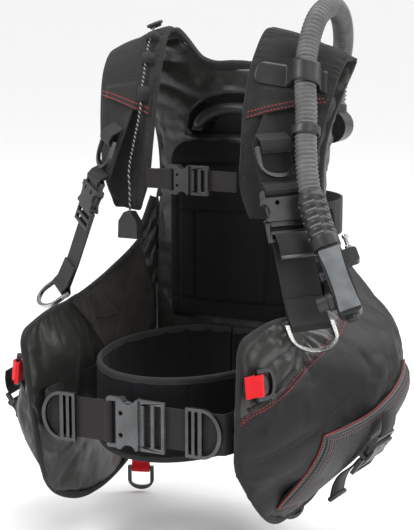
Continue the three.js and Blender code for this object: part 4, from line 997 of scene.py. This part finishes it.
def make_strap(side):
    nu, nv = 110, 30
    u, c = mesh_of((0.02, 1), (-1, 1), nu, nv)
    ends = np.sqrt(np.clip(1 - np.clip((u - 0.9) / 0.1, 0, 1) ** 2, 0, 1))
    crown = np.sqrt(np.clip(1 - c**4, 0, 1)) * ends
    lift = 1.8 + (STRAP_THICK / 2 - 1.8) * crown
    shape = (nu + 1, nv + 1, 3)
    outer = sided(strap_point(u, c, lift), side).reshape(shape)
    inner = sided(strap_point(u, c, -lift), side).reshape(shape)
    pad = slab("shoulder_pad_" + side, outer, inner, CORDURA, (0.25, 0.1))
    rest = np.array([p.co for p in pad.data.vertices])
    edge = np.minimum(1 - np.abs(c), 0.3) * 50
    ripple = 0.0012 * np.sin(u * 130 + 2 * np.sin(u * 37)) * np.exp(-edge / 6)
    soft = crumple(rest, 0.06, (1, 1, 1.4), 4.0)
    displace(pad, np.concatenate([ripple, ripple]) - 0.0016 * soft)
    on_vest(pad)
    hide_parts("shoulder_strap_" + side)
    strap_trim(side)
    return pad


def strap_trim(side):
    n = 140
    s = np.linspace(0.02, 0.985, n)
    for name, c in (("neck", -1.0), ("arm", 1.0)):
        edge = strap_point(s, np.full(n, c), np.zeros(n))
        inside = strap_point(s, np.full(n, c * 0.9), np.zeros(n))
        lifted = strap_point(s, np.full(n, c), np.ones(n))
        inward, normals = unit(inside - edge), unit(lifted - edge)
        edge, inward, normals = (sided(a, side) for a in (edge, inward, normals))
        label = "strap_" + name + "_binding_" + side
        on_vest(binding(label, edge, inward, normals, 2.2, width=8))
        seam = binding_seam(label + "_seam", edge, inward, normals, 3.2, width=8)
        on_vest(seam)
    tip_binding(side)
    make_overlay(side)


def overlay_lift(s, c, low):
    """How far the cover panel stands off the strap's middle: it drapes over the sewn end of the webbing."""
    pad = 1.8 + (STRAP_THICK / 2 - 1.8) * np.sqrt(np.clip(1 - c**4, 0, 1))
    over = (1 - smooth(np.abs(c), 0.45, 0.75)) * smooth(s, 0.47, 0.5)
    return pad + 0.5 + over * (4.0 + 3.0 * smooth(s, low - 0.05, low))


def overlay_edge(c):
    return 0.566 - 0.045 * c


def make_overlay(side):
    """The panel over the sewn end of the webbing, held by a double red seam along its lower edge."""
    n = 36
    t, c = mesh_of((0, 1), (-0.94, 0.94), n, n)
    low = overlay_edge(c)
    s = 0.455 + (low - 0.455) * t
    shape = (n + 1, n + 1, 3)
    outer = strap_point(s, c, overlay_lift(s, c, low) + 0.6)
    inner = strap_point(s, c, overlay_lift(s, c, low) - 0.6)
    panel = slab("strap_cover_" + side, sided(outer, side).reshape(shape), sided(inner, side).reshape(shape),
                 CORDURA, (0.06, 0.1))
    on_vest(panel)
    for k in range(2):
        c = np.linspace(-0.9, 0.9, 70)
        low = overlay_edge(c)
        s = low - 0.008 - 0.018 * k
        lift = overlay_lift(s, c, low) + 1.0
        line = strap_point(s, c, lift)
        normals = unit(strap_point(s, c, lift + 1) - line)
        line, normals = sided(line, side), sided(normals, side)
        seam = stitches("strap_red_seam_%d_%s" % (k, side), line, normals, RED_THREAD, (3.0, 1.2, 0.7), 1.4)
        on_vest(seam)


def tip_binding(side):
    """The tape round the pad's rounded tip."""
    c = np.linspace(-1, 1, 30)
    s = np.full(30, 0.992)
    edge = strap_point(s, c, np.zeros(30))
    inward = unit(strap_point(s - 0.02, c, np.zeros(30)) - edge)
    normals = unit(strap_point(s, c, np.ones(30)) - edge)
    edge, inward, normals = (sided(a, side) for a in (edge, inward, normals))
    tape = binding("strap_tip_binding_" + side, edge, inward, normals, 2.2, width=8)
    on_vest(tape)


def make_sleeve(index, s):
    """A fabric sleeve on the right strap that the pull cord runs through."""
    base = STRAP_THICK / 2
    run = np.linspace(-1, 1, 17)
    height = base - 2 + (CORD_HEIGHT + 4.2) * np.clip(1.25 * np.sqrt(1 - run**2), 0, 1)
    across = CORD_ACROSS + run * 0.17
    points = []
    for step in (-0.028, 0.028):
        for drop in (0.0, 1.3):
            points.append(strap_point(np.full(17, s + step), across, height - drop))
    outer = mirrored(np.stack([points[0], points[2]]))
    inner = mirrored(np.stack([points[1], points[3]]))
    sleeve = slab("cord_sleeve_%d" % index, outer, inner, CORDURA, (0.014, 0.03))
    on_vest(sleeve)


def make_keeper():
    """The rubber flap that holds the hose on the left strap: flat on the pad, arched over the hose."""
    half = KEEPER["half"]
    line = spline(HOSE_PATH)(np.linspace(0, 1, 900))
    rows = []
    steps = np.linspace(-1, 1, 9)
    across = unit(strap_half(KEEPER["s"]))[0]
    base = strap_point(KEEPER["s"], 0.0, STRAP_THICK / 2)[0]
    down = unit(strap_point(KEEPER["s"] + 0.01, 0.0, 0)[0] - strap_point(KEEPER["s"] - 0.01, 0.0, 0)[0])
    out = unit(np.cross(down, across))
    out *= -np.sign(out[1])
    arch = HOSE["radius"] + 2.4
    for step in steps:
        centre = base + down * step * half
        near = line[np.argmin(np.abs((line - centre) @ down) + 0.02 * np.linalg.norm(line - centre, axis=1))]
        x, h = (near - centre) @ across, (near - centre) @ out
        turn = np.linspace(math.pi * 1.08, -math.pi * 0.08, 25)
        over = [(x + arch * math.cos(a), max(h + arch * math.sin(a), 2.0)) for a in turn]
        ends = KEEPER["reach"] * math.sqrt(max(1 - 0.3 * step**4, 0))
        flat = [(-ends + k * (x - arch - 6 + ends) / 8, 1.6) for k in range(9)]
        foot = [(x + arch + 3 + 2.0 * k, 1.6) for k in range(5)]
        profile, _ = even([(a, 0, b) for a, b in flat + over + foot], 2.0)
        rows.append((centre, profile))
    count = min(len(profile) for _, profile in rows)
    skins = []
    for lift in (0.0, KEEPER["thick"]):
        grid = []
        for centre, profile in rows:
            share = np.linspace(0, len(profile) - 1, count)
            pts = np.array([np.interp(share, range(len(profile)), profile[:, k]) for k in (0, 2)]).T
            normal = unit(np.stack([-np.gradient(pts[:, 1]), np.gradient(pts[:, 0])], axis=1))
            pts = pts + normal * lift
            grid.append(centre + across * pts[:, :1] + out * pts[:, 1:])
        skins.append(np.array(grid))
    keeper = slab("hose_keeper_flap", skins[1], skins[0], DARK_RUBBER, (0.03, 0.09))
    on_vest(keeper)
    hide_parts("hose_keeper")


for side in ("left", "right"):
    make_strap(side)
make_keeper()
for index, s in enumerate((0.24, 0.38, 0.53)):
    make_sleeve(index, s)

# ---------------------------------------------------------------- back

SEAM_TOP, SEAM_BOTTOM = LOBE_TOP[-1], LOBE_BOTTOM[-1]


def make_back_shell():
    """The back of the air cell: the CAD shape remeshed, swollen as cloth, then creased."""
    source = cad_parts["back_panel"]
    shell = bpy.data.objects.new("back_shell", source.data.copy())
    bpy.context.scene.collection.objects.link(shell)
    shell.data.materials.clear()
    shell.data.materials.append(SATIN)
    bpy.context.view_layer.objects.active = shell
    bpy.ops.object.select_all(action="DESELECT")
    shell.select_set(True)
    remesh = shell.modifiers.new("remesh", "REMESH")
    remesh.mode = "VOXEL"
    remesh.voxel_size = 0.004
    settle = shell.modifiers.new("settle", "SMOOTH")
    settle.iterations = 4
    for modifier in ("remesh", "settle"):
        bpy.ops.object.modifier_apply(modifier=modifier)
    rest = np.array([v.co for v in shell.data.vertices])
    seam = row((0, SEAM_TOP[1], 0))[1]
    thin = np.abs(rest[:, 1] - seam) < 0.0045
    low = rest[:, 2] < row((0, 0, 500))[2]
    puff(shell, np.flatnonzero(thin & low), 1.2, 0.004, 0.02, 12)
    rest = np.array([v.co for v in shell.data.vertices])
    collar = smooth(rest[:, 2], row((0, 0, 470))[2], row((0, 0, 530))[2])
    folds = crumple(rest, 0.05, (2.2, 1, 0.7), 1.0) * (0.0015 + 0.004 * collar)
    displace(shell, -folds - 0.0015 * crumple(rest, 0.02, (1.6, 1, 1), 7.0) * collar)
    shell.data.polygons.foreach_set("use_smooth", [True] * len(shell.data.polygons))
    on_vest(shell)
    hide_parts("back_panel")


def make_back_pad():
    """The pad behind the wearer, with its sewn channels."""
    nu, nv = 92, 120
    x, z = mesh_of((-1, 1), (0, 1), nu, nv)
    height = PAD["bottom"] + z * (PAD["top"] - PAD["bottom"])
    corner = np.clip((height - (PAD["top"] - PAD["corner"])) / PAD["corner"], 0, 1)
    width = PAD["half"] - PAD["corner"] * (1 - np.sqrt(1 - corner**2)) * 0.95
    side = x * width
    crown = (np.clip(1 - x**6, 0, 1) * np.clip(1 - (2 * z - 1) ** 8, 0, 1)) ** 0.45
    back = 87 - 0.6
    inner_x = np.abs(side)

    def groove(distance):
        return np.exp(-((distance / 2.6) ** 2))

    seams = groove(np.abs(inner_x - 52) + 30 * ((height < 238) | (height > 356)))
    for level in (236, 358):
        seams = np.maximum(seams, groove(height - level))
    seams = np.maximum(seams, groove(inner_x - 78) * (height < 400))
    seams = np.maximum(seams, groove(height - 424 + 6 * (side / 90) ** 2))
    block = np.where((inner_x < 52) & (height > 236) & (height < 358), 1.0, 0.86)
    block = np.where(height > 427, 1.12, block)
    thick = PAD["thick"] * (0.35 + 0.65 * crown * block) - 4.2 * seams * crown
    shape = (nu + 1, nv + 1, 3)
    front = np.stack([side, back - thick, height], axis=1).reshape(shape)
    rear = np.stack([side, np.full(len(x), back), height], axis=1).reshape(shape)
    pad = slab("back_pad_cloth", front, rear, LINING, (0.184, 0.24))
    on_vest(pad)
    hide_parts("back_pad")


def back_half_width(z):
    share = (z - SEAM_BOTTOM[2]) / (SEAM_TOP[2] - SEAM_BOTTOM[2])
    seam = SEAM_BOTTOM[0] + (SEAM_TOP[0] - SEAM_BOTTOM[0]) * share
    if z < SEAM_TOP[2]:
        return seam - 0.5
    edge = [(SEAM_TOP[2], SEAM_TOP[0] - 0.5), *BACK_ARMHOLE, (BACK_RIDGE[1][1], BACK_RIDGE[1][0])]
    return keyed(edge, z)


def back_line(u, v):
    """Points of the back panel's middle surface: u from -1 to 1 across, v from bottom to top."""
    out = []
    inner, outer = BACK_RIDGE
    ridge = [(0, BACK_NECK_TOP), (0.27, BACK_NECK_TOP + 4), (inner[0] / outer[0], inner[1]), (1, outer[1])]
    for a, b in zip(u, v):
        top = keyed(ridge, abs(a))
        z = SEAM_BOTTOM[2] + b * (top - SEAM_BOTTOM[2])
        lean = max(0.0, (z - 470) / 115)
        out.append((a * back_half_width(z), SEAM_TOP[1] - BACK_CURL * lean**3, z))
    return np.array(out)


def make_back_binding():
    """Tape along the neck edge and down both armholes of the back panel."""
    n = 160
    u = np.linspace(-1, 1, n)
    edge = back_line(u, np.ones(n))
    inward = unit(back_line(u, np.full(n, 0.97)) - edge)
    normals = unit(np.cross(np.gradient(edge, axis=0), inward))
    normals *= np.sign(-normals[:, 1:2] + 1e-9)
    tape = binding("neck_binding", edge, inward, normals, EDGE / 2 + 1.2)
    on_vest(tape)
    for name, sign in (("left", 1), ("right", -1)):
        v = np.linspace(0.62, 0.995, 90)
        edge = back_line(np.full(90, sign * 1.0), v)
        inward = unit(back_line(np.full(90, sign * 0.95), v) - edge)
        normals = unit(np.cross(np.gradient(edge, axis=0), inward))
        normals *= np.sign(-normals[:, 1:2] + 1e-9)
        tape = binding("armhole_binding_" + name, edge, inward, normals, EDGE / 2 + 1.2)
        on_vest(tape)


def make_handle_grip():
    """A soft sleeve round the backplate's carrying arch."""
    turn = np.linspace(math.radians(6), math.radians(174), 60)
    arch = np.stack([HANDLE["half"] * np.cos(turn), np.full(60, HANDLE["y"]),
                     HANDLE["z"] + HANDLE["rise"] * np.sin(turn)], axis=1)
    radii = HANDLE["radius"] * np.sqrt(np.clip(1 - np.abs(np.linspace(-1, 1, 60)) ** 12, 0.1, 1))
    grip = tube("handle_grip", arch, radii, DARK_RUBBER, 20)
    on_vest(grip)


def make_buckle_flap():
    """The webbing's folded end that hangs out of the left shoulder buckle's mouth."""
    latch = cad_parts["shoulder_buckle_male_left"]
    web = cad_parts["shoulder_webbing_left"]
    top, low = (torso(np.mean([v.co for v in n.data.vertices], axis=0)) for n in (latch, web))
    down = unit(low - top)
    out = unit(np.array((0.7, -0.7, 0.1)) - down * np.dot(down, (0.7, -0.7, 0.1)))
    across = np.cross(down, out)
    line = [top + down * d + out * h
            for d, h in ((14, 4.5), (19, 8), (26, 11), (34, 12.5), (42, 12), (47, 10.5))]
    line, _ = even(spline(np.array(line))(np.linspace(0, 1, 40)), 2)
    ups = unit(np.cross(unit(np.gradient(line, axis=0)), across))
    flap = sweep("shoulder_webbing_end", line, [(-24, -1.1), (-24, 1.1), (24, 1.1), (24, -1.1)],
                 np.tile(across, (len(line), 1)), ups, WEBBING)
    on_vest(flap)
    hem = line[-1] - down * 3 + out * 1.6
    on_vest(tube("shoulder_webbing_hem", [hem + across * d for d in (-24, -23, 23, 24)], [1.6, 2.2, 2.2, 1.6],
                 GLOSSY_PLASTIC, 10))


make_back_shell()
make_back_pad()
make_back_binding()
make_handle_grip()
make_buckle_flap()

# ---------------------------------------------------------------- cummerbund


def cummerbund_point(angle, z, outside):
    c = CUMMERBUND
    y = np.minimum(c["y"] - (c["deep"] + outside) * np.cos(angle), c["flat"] + outside)
    return np.stack([(c["half"] + outside) * np.sin(angle), y, z], axis=1)


def make_cummerbund():
    """The padded waist wrap: a closed loop with bound edges and upright quilting seams."""
    c = CUMMERBUND
    start = math.radians(0.6)
    nu, nv = 260, 30
    angle, t = mesh_of((math.pi - start, start - math.pi), (0, 1), nu, nv)
    low = c["bottom"] - 8 * np.cos(angle)
    z = low + (c["top"] - low) * t
    quilts = np.exp(-((np.sin(angle * 5 + 0.4) / 0.07) ** 2))
    full = np.sin(math.pi * t) ** 0.35
    wave = 0.9 * np.sin(angle * 9 + t * 2) * np.sin(math.pi * t) + 0.5 * np.sin(angle * 23)
    puffed = 1.6 + 2.4 * full * (1 - 0.8 * quilts)
    shape = (nu + 1, nv + 1, 3)
    outer = cummerbund_point(angle, z, puffed + wave * 0.4).reshape(shape)
    inner = cummerbund_point(angle, z, -puffed + wave * 0.4).reshape(shape)
    band = slab("cummerbund_cloth", outer, inner, LINING, (0.75, 0.11))
    on_vest(band)
    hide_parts("cummerbund")
    run = np.linspace(math.pi - start, start - math.pi, 260)
    edges = (("top", np.full(260, c["top"]), -1.0), ("bottom", c["bottom"] - 8 * np.cos(run), 1.0))
    for name, level, inward in edges:
        edge = cummerbund_point(run, level, 0.0)
        normals = unit(cummerbund_point(run, level, 1.0) - edge)
        into = np.tile((0, 0, inward), (260, 1))
        on_vest(binding("cummerbund_%s_binding" % name, edge, into, normals, 2.0, width=8))
        on_vest(binding_seam("cummerbund_%s_seam" % name, edge, into, normals, 2.6, width=8))


make_cummerbund()

# ---------------------------------------------------------------- hose end


def make_boot():
    """The strain relief on the hose's lower end: a tapered sleeve with two rows of long slots."""
    start = int(len(hose_line) * (HOSE["boot_from"] + 0.005))
    line = hose_line[start:]
    n = len(line)
    t = np.linspace(0, 1, n)
    radii = HOSE["boot"] - 2.6 + 2.2 * smooth(t, 0, 0.12) - 0.8 * t
    for k in range(5):
        radii -= 1.5 * np.exp(-(((t - 0.2 - 0.14 * k) / 0.035) ** 2))
    boot = tube("hose_boot", line, radii, DARK_RUBBER, 32)
    on_vest(boot)
    frames = side_frames(line, (0.2, 0.9, 0.1))
    for k in range(5):
        middle = int(n * (0.2 + 0.14 * k))
        for j in range(4):
            angle = math.pi / 2 * j + 0.4
            out = math.cos(angle) * frames[1][middle] + math.sin(angle) * frames[2][middle]
            around = np.cross(frames[0][middle], out)
            centre = line[middle] + out * (HOSE["boot"] - 2.2)
            arc = [centre + around * a * 7 - out * (a * a) * 1.8 for a in np.linspace(-1, 1, 9)]
            slot_ = tube("boot_slot_%d_%d" % (k, j), arc, np.full(9, 1.5), HOSE_RUBBER, 8)
            on_vest(slot_)


make_boot()

# ---------------------------------------------------------------- hard parts and webbing from the CAD


def dress(node, material, bevel=0.0008, segments=2, angle=35):
    """A CAD node's own finish, with its moulded edges rounded off."""
    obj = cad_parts[node]
    obj.data.materials.clear()
    obj.data.materials.append(material)
    if "custom_normal" in obj.data.attributes:
        obj.data.attributes.remove(obj.data.attributes["custom_normal"])
    obj.data.polygons.foreach_set("use_smooth", [True] * len(obj.data.polygons))
    weld = obj.modifiers.new("weld", "WELD")
    weld.merge_threshold = 0.00002
    rounding = obj.modifiers.new("rounding", "BEVEL")
    rounding.width = bevel
    rounding.segments = segments
    rounding.limit_method = "ANGLE"
    rounding.angle_limit = math.radians(angle)
    shading = obj.modifiers.new("shading", "WEIGHTED_NORMAL")
    shading.keep_sharp = False
    return obj


BUCKLES = [k + j for k in ("waist_buckle_", "chest_buckle_") for j in ("female", "male")]
BUCKLES += [k + j + "_" + s for k in ("shoulder_buckle_", "pocket_buckle_") for j in ("female", "male")
            for s in ("left", "right")]
for node in BUCKLES:
    dress(node, GLOSSY_PLASTIC if node.startswith("waist") else PLASTIC, 0.0009, 3)
for node in ("backplate", "shoulder_elbow", "inflator_body", "hose_clip", "cam_buckle_base", "cam_lever",
             "dump_valve"):
    dress(node, PLASTIC, 0.0014, 3)
for node in ("inflate_button", "deflate_button"):
    dress(node, PLASTIC, 0.001, 3)
dress("inflator_cover", COVER, 0.0012, 3)
for node in ("mouthpiece", "pull_knob"):
    dress(node, DARK_RUBBER, 0.001, 3)
dress("quick_connect_nipple", STEEL, 0.0004)
for side in ("left", "right"):
    dress("strap_ring_" + side, STEEL, 0.0019, 4)
    for ring in ("shoulder_ring_", "lobe_ring_", "keel_ring_"):
        dress(ring + side, BLACK_STEEL, 0.0019, 4)
    dress("waist_ring_" + side, BLACK_STEEL, 0.0012, 3)
    for web in ("ring_webbing_", "shoulder_webbing_"):
        dress(web + side, WEBBING, 0.0005)
    for tab in ("lobe_tab_", "keel_tab_"):
        dress(tab + side, RED_WEBBING, 0.0005)
    dress("waist_belt_" + side, WEBBING_FLAT, 0.0005)
    dress("chest_strap_" + side, WEBBING_FLAT, 0.0004)
dress("tank_band", WEBBING_FLAT, 0.0006)

# ---------------------------------------------------------------- light and floor


def make_stage():
    """A plain pale floor that runs on to the horizon."""
    floor_z = CAD_BOX[0][2] - 0.004
    corners = ((-1, -1), (1, -1), (1, 1), (-1, 1))
    points = [(x * FLOOR, y * FLOOR, floor_z) for x, y in corners]
    paper = Shader("pale_paper", (0.88, 0.88, 0.88), 0.9)
    paper.vary_roughness(paper.noise(3.0), 0.86, 0.94)
    floor = new_object("floor", points, [(0, 1, 2, 3)], paper.material)


def area_light(name, place, aim, size, power):
    light = bpy.data.objects.new(name, bpy.data.lights.new(name, "AREA"))
    bpy.context.scene.collection.objects.link(light)
    light.data.shape = "RECTANGLE"
    light.data.size, light.data.size_y = size
    light.data.energy = power
    light.location = place
    light.rotation_euler = (Vector(place) - Vector(aim)).to_track_quat("Z", "Y").to_euler()


def make_lights():
    world = bpy.data.worlds.new("studio")
    bpy.context.scene.world = world
    world.use_nodes = True
    world.node_tree.nodes["Background"].inputs["Color"].default_value = (1, 1, 1, 1)
    world.node_tree.nodes["Background"].inputs["Strength"].default_value = 0.45
    middle = tuple(row((0, 0, 300)))
    area_light("key", (-1.3, -1.7, 1.5), middle, (1.0, 1.0), 46)
    area_light("fill", (1.9, -1.3, 0.8), middle, (1.0, 1.4), 26)
    area_light("top", (0.2, 0.3, 1.9), middle, (1.2, 0.8), 16)
    area_light("rim", (1.3, 1.2, 1.2), middle, (0.8, 1.2), 20)
    sun = bpy.data.objects.new("overhead", bpy.data.lights.new("overhead", "SUN"))
    bpy.context.scene.collection.objects.link(sun)
    sun.data.energy = 2.0
    sun.data.angle = math.radians(70)
    sun.rotation_euler = (math.radians(-12), math.radians(8), 0)
    bpy.context.scene.view_settings.view_transform = "Standard"


make_stage()
make_lights()
